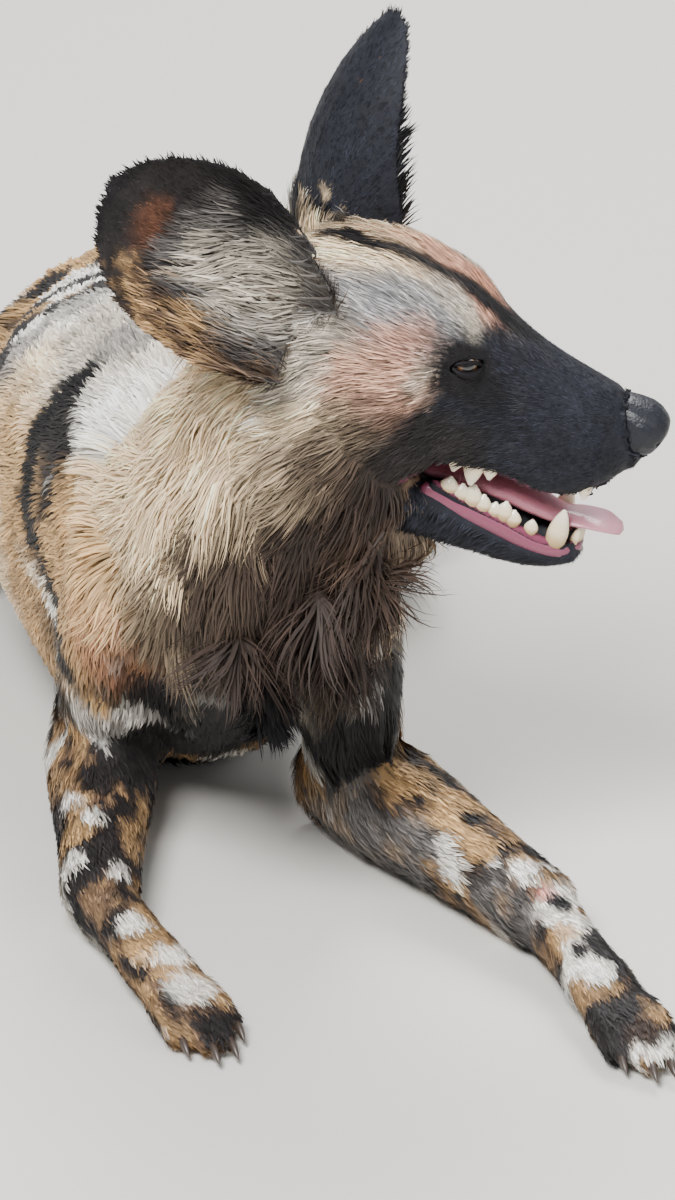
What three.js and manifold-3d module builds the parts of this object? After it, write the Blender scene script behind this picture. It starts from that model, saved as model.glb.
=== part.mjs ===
// A life-size African wild dog (Lycaon pictus) lying on its chest with the forelegs stretched out in front,
// the head turned to its left, the mouth a little open and the near ear laid back.
// Millimetres, +Z up, floor at z = 0. The dog faces -Y and its left side is +X.
import * as THREE from "three";
import { mergeVertices } from "three/addons/utils/BufferGeometryUtils.js";
import Module from "manifold-3d";

const wasm = await Module();
wasm.setup();

// Driving dimensions
const TRUNK_LENGTH = 650; // point of the shoulder to the back of the haunch
const WITHERS_HEIGHT = 318; // lying, above the floor
const CHEST_HALF_WIDTH = 92;
const HEAD_LENGTH = 246; // nose tip to the nape
const SKULL_HALF_WIDTH = 66;
const EAR_LENGTH = 152;
const EAR_WIDTH = 114; // across the opening of the cup
const FOREARM_LENGTH = 190;
const PAW_LENGTH = 176; // wrist to toe tip
const TAIL_RADIUS = 20;
const EYE_RADIUS = 11.5;
const LID_THICKNESS = 2.4;
const GAP = 0.35; // between touching pieces
const SINK = 6; // how deep a fused root goes

const COLOURS = {
  coat: 0xb08a5e,
  darkCoat: 0x3a302b,
  paleCoat: 0xd9cdbd,
  noseLeather: 0x16181d,
  tongue: 0xc0616a,
  eye: 0x5a3419,
  claw: 0x2a2420,
};

const V = (x, y, z) => new THREE.Vector3(x, y, z);
const mirrored = (p) => V(p.x, -p.y, p.z);
const lerp = THREE.MathUtils.lerp;
const clamp = THREE.MathUtils.clamp;
const radians = THREE.MathUtils.degToRad;

// A seeded draw, so that each run gives the same coat.
function seededDraw(seed) {
  let state = seed;
  return () => {
    state = (state * 1664525 + 1013904223) % 4294967296;
    return state / 4294967296;
  };
}

// Smooth interpolation of one named size through the rows, with t from 0 to 1.
function alongRows(rows, key, t) {
  const last = rows.length - 1;
  const place = clamp(t, 0, 1) * last;
  const i = Math.min(Math.floor(place), last - 1);
  const f = place - i;
  const value = (k) => rows[clamp(k, 0, last)][key];
  const [a, b, c, d] = [value(i - 1), value(i), value(i + 1), value(i + 2)];
  return b + 0.5 * f * (c - a + f * (2 * a - 5 * b + 4 * c - d + f * (3 * (b - c) + d - a)));
}

// One point of a rounded section: how far to the side and how far up, for an angle round it.
function sectionPoint(angle, wide, top, under, power) {
  const c = Math.cos(angle);
  const s = Math.sin(angle);
  const rounded = (v) => Math.sign(v) * Math.abs(v) ** (2 / power);
  return [wide * rounded(c), (s > 0 ? top : under) * rounded(s)];
}

// A closed body through rings of points. A ring of one point is a pole, and an open end ring gets a flat cap.
function bodyFromRings(rings) {
  const points = [];
  const starts = [];
  const index = [];
  for (const ring of rings) {
    starts.push(points.length);
    points.push(...ring);
  }
  for (let r = 0; r + 1 < rings.length; r++) {
    const [a, b] = [starts[r], starts[r + 1]];
    const [n, m] = [rings[r].length, rings[r + 1].length];
    const count = Math.max(n, m);
    for (let i = 0; i < count; i++) {
      const j = (i + 1) % count;
      if (n === 1) index.push(a, b + i, b + j);
      else if (m === 1) index.push(a + i, b, a + j);
      else index.push(a + i, b + i, a + j, a + j, b + i, b + j);
    }
  }
  // An end cap works inwards from both ends of the ring's list, which suits a cup's bent edge as well
  const cap = (ring, start, flip) => {
    let [low, high] = [0, ring.length - 1];
    const corner = (a, b, c) => index.push(start + a, start + (flip ? b : c), start + (flip ? c : b));
    while (high - low >= 2) {
      corner(low, high, low + 1);
      low += 1;
      if (high - low >= 2) corner(low, high, high - 1);
      high -= 1;
    }
  };
  cap(rings[0], starts[0], false);
  cap(rings.at(-1), starts.at(-1), true);
  return new THREE.BufferGeometry().setFromPoints(points).setIndex(index);
}

// A closed solid for manifold-3d from a three.js geometry, with its faces pointing out.
function solid(geometry, matrix = new THREE.Matrix4()) {
  const source = geometry.index ? geometry.toNonIndexed() : geometry;
  const plain = new THREE.BufferGeometry().setAttribute("position", source.getAttribute("position").clone());
  const merged = mergeVertices(plain.applyMatrix4(matrix), 1e-4);
  const corners = merged.index.array;
  const triVerts = [];
  for (let i = 0; i < corners.length; i += 3) {
    const [a, b, c] = corners.slice(i, i + 3);
    if (a !== b && b !== c && a !== c) triVerts.push(a, b, c);
  }
  const build = (tri) =>
    new wasm.Manifold(
      new wasm.Mesh({ numProp: 3, vertProperties: merged.attributes.position.array, triVerts: new Uint32Array(tri) }),
    );
  const made = build(triVerts);
  if (made.volume() > 0) return made;
  for (let i = 0; i < triVerts.length; i += 3) [triVerts[i], triVerts[i + 1]] = [triVerts[i + 1], triVerts[i]];
  return build(triVerts);
}

const union = (solids) => solids.reduce((whole, piece) => whole.add(piece));
const without = (body, ...cutters) => cutters.reduce((left, cutter) => left.subtract(cutter), body);

// Keeps the largest closed surface, which fills a sealed hollow and drops a loose scrap.
function largest(body) {
  return body.decompose().reduce((best, piece) => (piece.volume() > best.volume() ? piece : best));
}

function meshOf(name, body, colour, roughness = 0.85) {
  const made = largest(body).getMesh();
  const geometry = new THREE.BufferGeometry();
  const stride = made.numProp;
  const position = new Float32Array(made.numVert * 3);
  for (let i = 0; i < made.numVert; i++) {
    position.set(made.vertProperties.subarray(i * stride, i * stride + 3), i * 3);
  }
  geometry.setAttribute("position", new THREE.BufferAttribute(position, 3));
  geometry.setIndex(new THREE.BufferAttribute(made.triVerts, 1));
  geometry.computeVertexNormals();
  const mesh = new THREE.Mesh(geometry, new THREE.MeshStandardMaterial({ color: colour, roughness, metalness: 0 }));
  mesh.name = name;
  return mesh;
}

// The centre line through the rows, with the direction ahead, the one across and the one up at each place
function limbFrame(rows, side) {
  const curve = new THREE.CatmullRomCurve3(rows.map((entry) => entry.at), false, "catmullrom", 0.5);
  const axes = (t) => {
    const ahead = curve.getTangent(clamp(t, 0.001, 0.999)).normalize();
    const across = side.clone().addScaledVector(ahead, -side.dot(ahead)).normalize();
    return { ahead, across, up: new THREE.Vector3().crossVectors(across, ahead) };
  };
  const upward = axes(0.5).up.z < 0 ? -1 : 1;
  return (t) => {
    const { ahead, across, up } = axes(t);
    return { centre: curve.getPoint(t), ahead, across, up: up.multiplyScalar(upward) };
  };
}

// A tube through rows that each hold a centre (at) and named reaches (wide, top, under), with round ends.
// side is the direction of wide, and grow adds to every reach.
function limb({ rows, side, around = 10, along = 7, power = 2, grow = 0, ends = [0.7, 0.7], domeRings = 2 }) {
  const frame = limbFrame(rows, side);
  const ring = (t, scale, shift) => {
    const { centre, ahead, across, up } = frame(t);
    const [wide, top, under] = ["wide", "top", "under"].map((key) => (alongRows(rows, key, t) + grow) * scale);
    return Array.from({ length: around }, (_, i) => {
      const [a, b] = sectionPoint((2 * Math.PI * (i + 0.5)) / around, wide, top, under, power);
      return centre.clone().addScaledVector(across, a).addScaledVector(up, b).addScaledVector(ahead, shift);
    });
  };
  const reach = (t, end) => end * (alongRows(rows, "wide", t) + alongRows(rows, "top", t)) * 0.5 + grow;
  const capAngles = Array.from({ length: domeRings }, (_, i) => radians(lerp(90, 0, (i + 0.75) / (domeRings + 0.75))));
  const dome = (t, end, sign) =>
    capAngles.map((angle) => ring(t, Math.cos(angle), sign * reach(t, end) * Math.sin(angle)));
  const pole = (t, end, sign) => [frame(t).centre.addScaledVector(frame(t).ahead, sign * reach(t, end))];
  const middle = Array.from({ length: along + 1 }, (_, i) => ring(i / along, 1, 0));
  return bodyFromRings([
    pole(0, ends[0], -1),
    ...dome(0, ends[0], -1),
    ...middle,
    ...dome(1, ends[1], 1).reverse(),
    pole(1, ends[1], 1),
  ]);
}

const row = (x, y, z, wide, top, under = top) => ({ at: V(x, y, z), wide, top, under });

// A flat, tapered lock of coat. It starts under the surface, follows the lie and bends back down to it.
function lock({ root, lie, out, length, wide, thick, lift, droop = 0 }) {
  const side = new THREE.Vector3().crossVectors(lie, out).normalize();
  const at = (t) =>
    root
      .clone()
      .addScaledVector(lie, length * t)
      .addScaledVector(out, -SINK * (1 - t) ** 2 + lift * Math.sin(Math.PI * (0.12 + 0.62 * t)) * Math.min(1, 3 * t))
      .add(V(0, 0, -droop * t * t));
  const fullness = [0.75, 1, 0.8, 0.42];
  const rings = fullness.map((share, i) => {
    const centre = at(i / fullness.length);
    const [reach, height] = [(wide / 2) * share, thick * Math.max(share, 0.55)];
    return [
      centre.clone().addScaledVector(side, reach),
      centre.clone().addScaledVector(out, height),
      centre.clone().addScaledVector(side, -reach),
    ];
  });
  return bodyFromRings([...rings, [at(1)]]);
}

// Torso: one rounded barrel from the point of the shoulder to the back of the haunch
const TORSO_START = -95;
const torsoY = (share) => TORSO_START + share * TRUNK_LENGTH;
const torsoRows = [
  { share: 0.02, x: 0, z: 205, wide: 0.72, top: 66, under: 72 },
  { share: 0.09, x: 0, z: 198, wide: 0.92, top: 104, under: 108 },
  { share: 0.19, x: 0, z: 186, wide: 1.06, top: WITHERS_HEIGHT - 186, under: 140 },
  { share: 0.31, x: 0, z: 166, wide: 1.2, top: 134, under: 168 },
  { share: 0.45, x: 0, z: 150, wide: 1.34, top: 122, under: 156 },
  { share: 0.59, x: 8, z: 138, wide: 1.28, top: 100, under: 141 },
  { share: 0.73, x: 26, z: 126, wide: 1.1, top: 84, under: 118 },
  { share: 0.85, x: 46, z: 116, wide: 0.94, top: 76, under: 98 },
  { share: 0.95, x: 62, z: 106, wide: 0.74, top: 60, under: 76 },
].map(({ share, x, z, wide, top, under }) => row(x, torsoY(share), z, CHEST_HALF_WIDTH * wide, top, under));
const torsoForm = (grow = 0) =>
  solid(limb({ rows: torsoRows, side: V(1, 0, 0), around: 22, along: 14, domeRings: 3, power: 2.15, grow, ends: [0.45, 0.5] }));

// Head frame: origin at the nose tip, x ahead, y to the dog's left, z up
const HEAD_TURN = 72; // degrees to the left of straight ahead
const HEAD_PITCH = 12.5; // degrees of nose down
const noseTip = V(252, -172, 339);
const headAhead = V(
  Math.sin(radians(HEAD_TURN)) * Math.cos(radians(HEAD_PITCH)),
  -Math.cos(radians(HEAD_TURN)) * Math.cos(radians(HEAD_PITCH)),
  -Math.sin(radians(HEAD_PITCH)),
);
const headLeft = new THREE.Vector3().crossVectors(V(0, 0, 1), headAhead).normalize();
const headUp = new THREE.Vector3().crossVectors(headAhead, headLeft);
const headMatrix = new THREE.Matrix4().makeBasis(headAhead, headLeft, headUp).setPosition(noseTip);
const headToWorld = (x, y, z) => V(x, y, z).applyMatrix4(headMatrix);

// Skull and upper jaw from the nape to the nose: top, underside, half width, height of the widest point,
// and how square the underside is, which is most where the lips hang
const headSections = [
  { x: -HEAD_LENGTH + 8, top: 52, under: -22, wide: 0.6, middle: 12, square: 2.2 },
  { x: -226, top: 66, under: -50, wide: 0.84, middle: 8, square: 2.2 },
  { x: -204, top: 73, under: -68, wide: 0.96, middle: 4, square: 2.2 },
  { x: -182, top: 75, under: -78, wide: 1, middle: 0, square: 2.2 },
  { x: -162, top: 72, under: -80, wide: 0.96, middle: -2, square: 2.4 },
  { x: -146, top: 67, under: -69, wide: 0.87, middle: -4, square: 2.7 },
  { x: -130, top: 58, under: -54, wide: 0.74, middle: -6, square: 3.2 },
  { x: -114, top: 47, under: -51, wide: 0.62, middle: -8, square: 3.8 },
  { x: -98, top: 38, under: -52, wide: 0.54, middle: -12, square: 4 },
  { x: -82, top: 31, under: -55, wide: 0.49, middle: -16, square: 4 },
  { x: -66, top: 25.5, under: -57, wide: 0.46, middle: -18, square: 4 },
  { x: -50, top: 20.5, under: -55, wide: 0.435, middle: -18, square: 3.6 },
  { x: -39, top: 17, under: -50, wide: 0.4, middle: -17, square: 3 },
  { x: -29, top: 13.5, under: -43, wide: 0.335, middle: -16, square: 2.6 },
  { x: -20, top: 8.5, under: -35, wide: 0.23, middle: -14, square: 2.3 },
].map((section) => ({ ...section, wide: section.wide * SKULL_HALF_WIDTH }));

// Soft forms of the face: where each is, how far it spreads and how far it stands out or sinks in
const faceForms = [
  { x: -137, y: 25, z: 48, spread: 15, height: 4.5 }, // brow
  { x: -116, y: 33, z: 20, spread: 13, height: -4.5 }, // hollow before the eye
  { x: -160, y: 60, z: 4, spread: 24, height: 3.5 }, // cheekbone
  { x: -188, y: 58, z: -42, spread: 30, height: 4 }, // chewing muscle
  { x: -36, y: 25, z: -27, spread: 14, height: 3.2 }, // whisker pad
  { x: -66, y: 31, z: -42, spread: 16, height: 2 }, // hanging lip
  { x: -152, y: 0, z: 72, spread: 13, height: -2 }, // furrow of the forehead
  { x: -196, y: 46, z: 52, spread: 20, height: -3 }, // temple
];
const relief = (p) =>
  faceForms.reduce((sum, form) => {
    const far = (p.x - form.x) ** 2 + (Math.abs(p.y) - form.y) ** 2 + (p.z - form.z) ** 2;
    return sum + form.height * Math.exp(-far / form.spread ** 2);
  }, 0);

function headGeometry(grow = 0, around = 26, along = 22) {
  const at = (t) => {
    const size = (key) => alongRows(headSections, key, t);
    return Object.fromEntries(Object.keys(headSections[0]).map((key) => [key, size(key)]));
  };
  const ring = (t, scale, shift) => {
    const { x, top, under, wide, middle, square } = at(t);
    return Array.from({ length: around }, (_, i) => {
      const angle = (2 * Math.PI * (i + 0.5)) / around;
      const [y, z] = sectionPoint(angle, wide, top - middle, middle - under, Math.sin(angle) > 0 ? 2.25 : square);
      const skin = V(x, y, middle + z);
      const outward = V(0, y, z).normalize();
      const reach = relief(skin) + grow;
      return skin
        .addScaledVector(outward, reach)
        .sub(V(0, 0, middle))
        .multiply(V(1, scale, scale))
        .add(V(shift, 0, middle));
    });
  };
  const rear = 16 + grow;
  const front = 9 + grow;
  const capAngles = [60, 28].map(radians);
  const endMiddle = headSections.at(-1).middle;
  return bodyFromRings([
    [V(headSections[0].x - rear, 0, headSections[0].middle)],
    ...capAngles.map((angle) => ring(0, Math.cos(angle), -rear * Math.sin(angle))),
    ...Array.from({ length: along + 1 }, (_, i) => ring(i / along, 1, 0)),
    ...capAngles.map((angle) => ring(1, Math.cos(angle), front * Math.sin(angle))).reverse(),
    [V(headSections.at(-1).x + front, 0, endMiddle)],
  ]);
}

// Eyes, with lids as a thin shell round each ball that is open along an almond-shaped slit
const eyeCentre = V(-133, 32, 23.5);
const eyeLook = V(0.4, 0.88, 0.18).normalize();
const lidSlit = { long: 27, high: 9.5, tilt: 8 };
const ball = (centre, radius, detail = 12) =>
  solid(new THREE.SphereGeometry(radius, detail, Math.round(detail * 0.65)), new THREE.Matrix4().setPosition(centre));
const bothSides = (point, make) => [make(point, 1), make(mirrored(point), -1)];

function slitCutter(centre, sign) {
  const { long, high, tilt } = lidSlit;
  const outline = new THREE.Shape();
  outline.moveTo(-long / 2, 0);
  outline.quadraticCurveTo(0, high * 1.15, long / 2, -high * 0.12);
  outline.quadraticCurveTo(0, -high * 0.85, -long / 2, 0);
  const cutter = new THREE.ExtrudeGeometry(outline, { depth: 24, bevelEnabled: false, curveSegments: 5 });
  const look = V(eyeLook.x, eyeLook.y * sign, eyeLook.z);
  const ahead = V(1, 0, 0).addScaledVector(look, -look.x).normalize();
  const up = new THREE.Vector3().crossVectors(look, ahead).multiplyScalar(sign);
  const turned = ahead.clone().applyAxisAngle(look, radians(-tilt) * sign);
  const raised = up.clone().applyAxisAngle(look, radians(-tilt) * sign);
  const place = new THREE.Matrix4().makeBasis(turned, raised, look).setPosition(centre);
  return solid(cutter, place);
}

// Teeth: a cone for each cusp, fused to the gum that it grows from
function cusp(base, tip, radius, flat = 1) {
  const direction = tip.clone().sub(base);
  const length = direction.length();
  const start = base.clone().addScaledVector(direction, -SINK / length);
  const cone = new THREE.CylinderGeometry(radius * 0.16, radius, length + SINK, 5, 1);
  cone.translate(0, (length + SINK) / 2, 0);
  cone.scale(1, 1, flat);
  const turn = new THREE.Quaternion().setFromUnitVectors(V(0, 1, 0), direction.normalize());
  return solid(cone, new THREE.Matrix4().compose(start, turn, V(1, 1, 1)));
}

const upperTeeth = [
  { x: -40, y: 20, base: -32, tip: -50, radius: 4.6, lean: 3 }, // canine
  { x: -56, y: 22, base: -34, tip: -41, radius: 3.2, lean: 0 },
  { x: -70, y: 24, base: -33, tip: -43, radius: 3.8, lean: 0 },
  { x: -85, y: 26, base: -31, tip: -43, radius: 4.2, lean: 0 },
  { x: -104, y: 28, base: -30, tip: -48, radius: 5, lean: 0 },
  { x: -113, y: 29, base: -30, tip: -54, radius: 5.4, lean: 1 }, // shearing tooth, two cusps
  { x: -122, y: 29, base: -30, tip: -48, radius: 4.6, lean: -1 },
];
const lowerTeeth = [
  { x: -50, y: 16.5, base: -85, tip: -64, radius: 4.6, lean: 1 }, // canine
  { x: -68, y: 19, base: -80, tip: -73, radius: 3, lean: 0 },
  { x: -81, y: 21, base: -75.5, tip: -68, radius: 2.8, lean: 1 },
  { x: -86, y: 21.5, base: -74, tip: -63.5, radius: 3.4, lean: 0 },
  { x: -91, y: 22, base: -72, tip: -65, radius: 2.8, lean: -1 },
  { x: -98, y: 23, base: -70, tip: -62, radius: 3, lean: 1 },
  { x: -103, y: 23.5, base: -68, tip: -57.5, radius: 3.8, lean: 0 },
  { x: -109, y: 24, base: -66, tip: -58.5, radius: 3, lean: -1 },
  { x: -117, y: 24.5, base: -63, tip: -55, radius: 3.4, lean: 0 },
];
const incisors = (x, base, tip) =>
  [-9, -5.4, -1.8, 1.8, 5.4, 9].map((y) => cusp(V(x - Math.abs(y) * 0.35, y, base), V(x + 1.5 - Math.abs(y) * 0.35, y, tip), 2.3));
const toothRow = (teeth) =>
  teeth.flatMap(({ x, y, base, tip, radius, lean }) =>
    [1, -1].map((sign) => cusp(V(x, y * sign, base), V(x + lean, y * sign, tip), radius, 0.75)),
  );

// The hollow of the mouth, cut up into the head between its lips
const MOUTH_BACK = -146;
const MOUTH_FRONT = -30;
const LIP_THICKNESS = 6;
const headWideAt = (x) => {
  const i = clamp(headSections.findIndex((section) => section.x >= x), 1, headSections.length - 1);
  const [a, b] = [headSections[i - 1], headSections[i]];
  return lerp(a.wide, b.wide, (x - a.x) / (b.x - a.x));
};
function mouthHollow() {
  const steps = 9;
  const rings = Array.from({ length: steps }, (_, i) => {
    const t = i / (steps - 1);
    const x = lerp(MOUTH_BACK, MOUTH_FRONT, t);
    const wide = (headWideAt(x) - LIP_THICKNESS) * (t === 0 ? 0.75 : 1) * (t === 1 ? 0.6 : 1);
    const roof = lerp(-27, -31, t) - (t === 0 ? 14 : 0);
    const floor = t === 0 ? -70 : -95;
    return [V(x, wide, floor), V(x, wide, roof - 7), V(x, wide * 0.62, roof), V(x, -wide * 0.62, roof), V(x, -wide, roof - 7), V(x, -wide, floor)];
  });
  return solid(bodyFromRings(rings));
}

// Lower jaw: lip line and underside of an open mouth
const jawRows = [
  { x: -176, lip: -56, under: -92, wide: 42 },
  { x: -152, lip: -62, under: -103, wide: 40 },
  { x: -128, lip: -68, under: -107, wide: 36 },
  { x: -104, lip: -76, under: -109, wide: 31 },
  { x: -80, lip: -86, under: -111, wide: 27 },
  { x: -60, lip: -91.5, under: -110, wide: 23.5 },
  { x: -44, lip: -89, under: -105, wide: 18 },
].map(({ x, lip, under, wide }) => {
  const middle = lerp(lip, under, 0.35);
  return row(x, 0, middle, wide, lip - middle, middle - under);
});
const jawForm = (grow = 0, matrix) =>
  solid(limb({ rows: jawRows, side: V(0, 1, 0), around: 16, along: 9, power: 2.5, grow, ends: [0.4, 0.85] }), matrix);
const gumRows = (sign) => [
  row(-132, 25.5 * sign, -67, 5, 7, 8),
  row(-112, 24.5 * sign, -73, 5, 7, 8),
  row(-88, 21.5 * sign, -81, 4.6, 7, 7),
  row(-66, 18.5 * sign, -88, 4.4, 6, 6),
  row(-48, 14.5 * sign, -91, 5, 6, 6),
];
const gum = (sign, grow = 0, matrix) =>
  solid(limb({ rows: gumRows(sign), side: V(0, 1, 0), around: 6, along: 5, grow }), matrix);
const chinGum = () => solid(limb({ rows: [row(-43, -12, -91, 4, 6), row(-38.5, 0, -91, 4, 6), row(-43, 12, -91, 4, 6)], side: V(1, 0, 0), around: 6, along: 3 }));

const tongueRows = [
  row(-136, 0, -64, 15, 5, 8),
  row(-114, 0, -62, 17, 6, 9),
  row(-92, 0, -64, 17.5, 6, 9),
  row(-70, 0, -70, 15.5, 5.5, 7),
  row(-52, 0, -74.5, 12, 4.5, 4),
  row(-38, 0, -73.5, 14, 3.2, 2.6),
  row(-26, 0, -72.5, 14.5, 2.6, 2.2),
];
const tongueForm = (grow = 0, matrix) =>
  solid(limb({ rows: tongueRows, side: V(0, 1, 0), around: 12, along: 9, power: 2.3, grow, ends: [0.5, 0.9] }), matrix);

// Nose leather with its two comma-shaped nostrils
const noseRows = [
  row(-34, 0, 3, 13, 10.5, 16),
  row(-25, 0, 0, 16.5, 13, 18),
  row(-17, 0, -3, 17.5, 14, 19),
  row(-10, 0, -5.5, 14.5, 11.5, 15.5),
];
const noseForm = (grow = 0) =>
  solid(limb({ rows: noseRows, side: V(0, 1, 0), around: 14, along: 4, power: 2.3, grow, ends: [0.1, 0.4] }));
const nostril = (sign) => {
  const opening = limb({
    rows: [row(-20, 7.5 * sign, -6, 3, 3.4), row(-9, 8.2 * sign, -7, 4.4, 3.6), row(0, 8.6 * sign, -8, 5, 4)],
    side: V(0, 1, 0),
    around: 7,
    along: 2,
  });
  const slit = limb({
    rows: [row(-3, 9.5 * sign, -10.5, 2.8, 1.8), row(-10, 16.5 * sign, -13, 2.8, 1.7), row(-20, 20 * sign, -10, 2.8, 1.4)],
    side: V(0.5, sign, 0),
    around: 6,
    along: 3,
  });
  return solid(opening).add(solid(slit));
};

// Ears: a thin cup whose edges curl towards the side that it faces
function earGeometry({ base, axis, facing, rows, rounding, grow = 0 }) {
  const up = axis.clone().normalize();
  const face = facing.clone().addScaledVector(up, -facing.dot(up)).normalize();
  const side = new THREE.Vector3().crossVectors(up, face);
  const thick = 3.2 + 2 * grow;
  const roundTop = (t) => Math.sqrt(Math.max(0, 1 - Math.max(0, (t - rounding) / (1 - rounding)) ** 2));
  const section = (t, steps = 9) => {
    const wide = EAR_WIDTH * alongRows(rows, "across", t) * roundTop(t) + grow * 2;
    const halfAngle = radians(alongRows(rows, "bend", t));
    const radius = wide / (2 * Math.sin(Math.min(halfAngle, Math.PI / 2)));
    const length = t * (EAR_LENGTH + grow);
    const backLean = 14 * Math.sin(Math.PI * t);
    const centre = base.clone().addScaledVector(up, length).addScaledVector(face, -backLean);
    const arc = (angle, inset) => {
      const r = radius - inset;
      return centre
        .clone()
        .addScaledVector(face, radius - r * Math.cos(angle))
        .addScaledVector(side, r * Math.sin(angle));
    };
    const taper = (angle) => thick * (1 - 0.45 * (angle / halfAngle) ** 4);
    const angles = Array.from({ length: steps }, (_, i) => lerp(-halfAngle, halfAngle, i / (steps - 1)));
    const outer = angles.map((angle) => arc(angle, -grow));
    const inner = angles.map((angle) => arc(angle, taper(angle) - grow)).reverse();
    return [...outer, ...inner];
  };
  const stops = [0, 0.12, 0.26, 0.4, 0.54, 0.67, 0.79, 0.88, 0.95];
  const tip = base.clone().addScaledVector(up, EAR_LENGTH + grow);
  return bodyFromRings([...stops.map((t) => section(t)), [tip]]);
}
// Rows from the root to the tip: the share of the ear's width and the half angle of the cup
const ears = {
  // laid back and out, its cup towards the right and ahead
  ear_right: {
    base: V(-230, -48, 26),
    axis: V(-132, -26, 80),
    facing: V(0.1, -1, 0.22),
    rounding: 0.5,
    rows: [
      { across: 0.5, bend: 112 },
      { across: 0.86, bend: 80 },
      { across: 1, bend: 60 },
      { across: 1, bend: 50 },
      { across: 0.96, bend: 42 },
    ],
  },
  // upright, its cup away to the left and ahead
  ear_left: {
    base: V(-250, 44, 40),
    axis: V(26, 34, 146),
    facing: V(0.82, 0.57, 0.1),
    rounding: 0.62,
    rows: [
      { across: 0.7, bend: 112 },
      { across: 0.86, bend: 84 },
      { across: 0.78, bend: 62 },
      { across: 0.62, bend: 50 },
      { across: 0.46, bend: 42 },
    ],
  },
};

// Neck from the chest to the nape, with the throat ruff
const nape = headToWorld(-196, 0, -2);
const neckRows = [
  row(8, -20, 200, 90, 92, 92),
  row(24, -58, 250, 94, 92, 98),
  row(36, -86, 300, 82, 86, 90),
  row(46, -100, 345, 68, 76, 84),
  { at: nape, wide: 58, top: 60, under: 70 },
];
const neckGeometry = (grow = 0) =>
  limb({ rows: neckRows, side: V(1, 0.35, 0), around: 16, along: 6, grow, ends: [0.3, 0.3] });

// Forelegs
const foreleg = {
  right: {
    shoulder: V(-62, -44, 205),
    elbow: V(-65, 50, 48),
    wrist: V(-95, 50 - FOREARM_LENGTH * 0.98, 34),
    toward: V(0.3, -0.954, 0),
  },
  left: {
    shoulder: V(64, -62, 205),
    elbow: V(80, -34, 48),
    wrist: V(171, -34 - FOREARM_LENGTH * 0.87, 32),
    toward: V(0.23, -0.973, 0),
  },
};
const between = (a, b, t, raise = 0) => a.clone().lerp(b, t).add(V(0, 0, raise));
const rowAt = (at, wide, top, under = top) => ({ at, wide, top, under });

function upperArm({ shoulder, elbow }, grow = 0) {
  return solid(
    limb({
      rows: [
        rowAt(shoulder, 36, 58, 54),
        rowAt(between(shoulder, elbow, 0.35), 39, 62, 56),
        rowAt(between(shoulder, elbow, 0.7), 36, 52, 50),
        rowAt(elbow, 30, 36, 38),
      ],
      side: V(1, 0, 0.12 * Math.sign(elbow.x)),
      around: 12,
      along: 5,
      grow,
      ends: [0.7, 0.6],
    }),
  );
}
function forearm({ elbow, wrist }, grow = 0) {
  const across = new THREE.Vector3().crossVectors(wrist.clone().sub(elbow), V(0, 0, 1)).normalize();
  return solid(
    limb({
      rows: [
        rowAt(between(elbow, wrist, -0.1, -4), 32, 30, 46),
        rowAt(between(elbow, wrist, 0.16, -4), 38, 38, 46),
        rowAt(between(elbow, wrist, 0.42, -2), 35, 33, 40),
        rowAt(between(elbow, wrist, 0.7), 29, 26, 40),
        rowAt(between(elbow, wrist, 0.98), 27, 22, 36),
      ],
      side: across,
      around: 12,
      along: 7,
      grow,
      ends: [0.6, 0.6],
    }),
  );
}

// A paw: pastern, four toes, pads flat on the floor. The two middle toes reach furthest.
const TOES = [
  { out: -1.5, reach: 0.9 },
  { out: -0.5, reach: 1 },
  { out: 0.5, reach: 1 },
  { out: 1.5, reach: 0.9 },
];
function pawPlan({ wrist, toward }, length, size) {
  const ahead = toward.clone().normalize();
  const across = new THREE.Vector3().crossVectors(ahead, V(0, 0, 1)).normalize();
  const spot = (forward, aside, z) => V(wrist.x, wrist.y, 0).addScaledVector(ahead, forward).addScaledVector(across, aside).setZ(z);
  const toes = TOES.map(({ out, reach }) => {
    const knuckle = spot(length * 0.6, out * 10.5 * size, 19 * size);
    const tip = spot(length * (0.93 * reach), out * 12.5 * size, 10.5 * size);
    return { out, knuckle, tip };
  });
  return { ahead, across, spot, toes, wrist, length, size };
}
function paw(plan, grow = 0) {
  const { across, spot, toes, wrist, length, size } = plan;
  const pastern = limb({
    rows: [
      rowAt(wrist.clone().add(V(0, 0, -1)), 22 * size, 20 * size, wrist.z + 2),
      rowAt(spot(length * 0.22, 0, 26 * size), 19.5 * size, 18 * size, 27 * size),
      rowAt(spot(length * 0.48, 0, 21 * size), 24 * size, 15 * size, 22 * size),
      rowAt(spot(length * 0.64, 0, 17 * size), 22 * size, 10 * size, 18 * size),
    ],
    side: across,
    around: 10,
    along: 5,
    grow,
    ends: [0.7, 0.5],
  });
  const toeForms = toes.map(({ knuckle, tip }) =>
    limb({
      rows: [
        rowAt(knuckle, 9 * size, 9.5 * size, 16 * size),
        rowAt(between(knuckle, tip, 0.45, 1.5), 9.8 * size, 10 * size, 15 * size),
        rowAt(tip.clone().addScaledVector(plan.ahead, -5), 9 * size, 8.5 * size, 11 * size),
      ],
      side: across,
      around: 7,
      along: 2,
      grow,
      ends: [0.6, 0.85],
      domeRings: 1,
    }),
  );
  return union([pastern, ...toeForms].map((geometry) => solid(geometry)));
}
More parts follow.
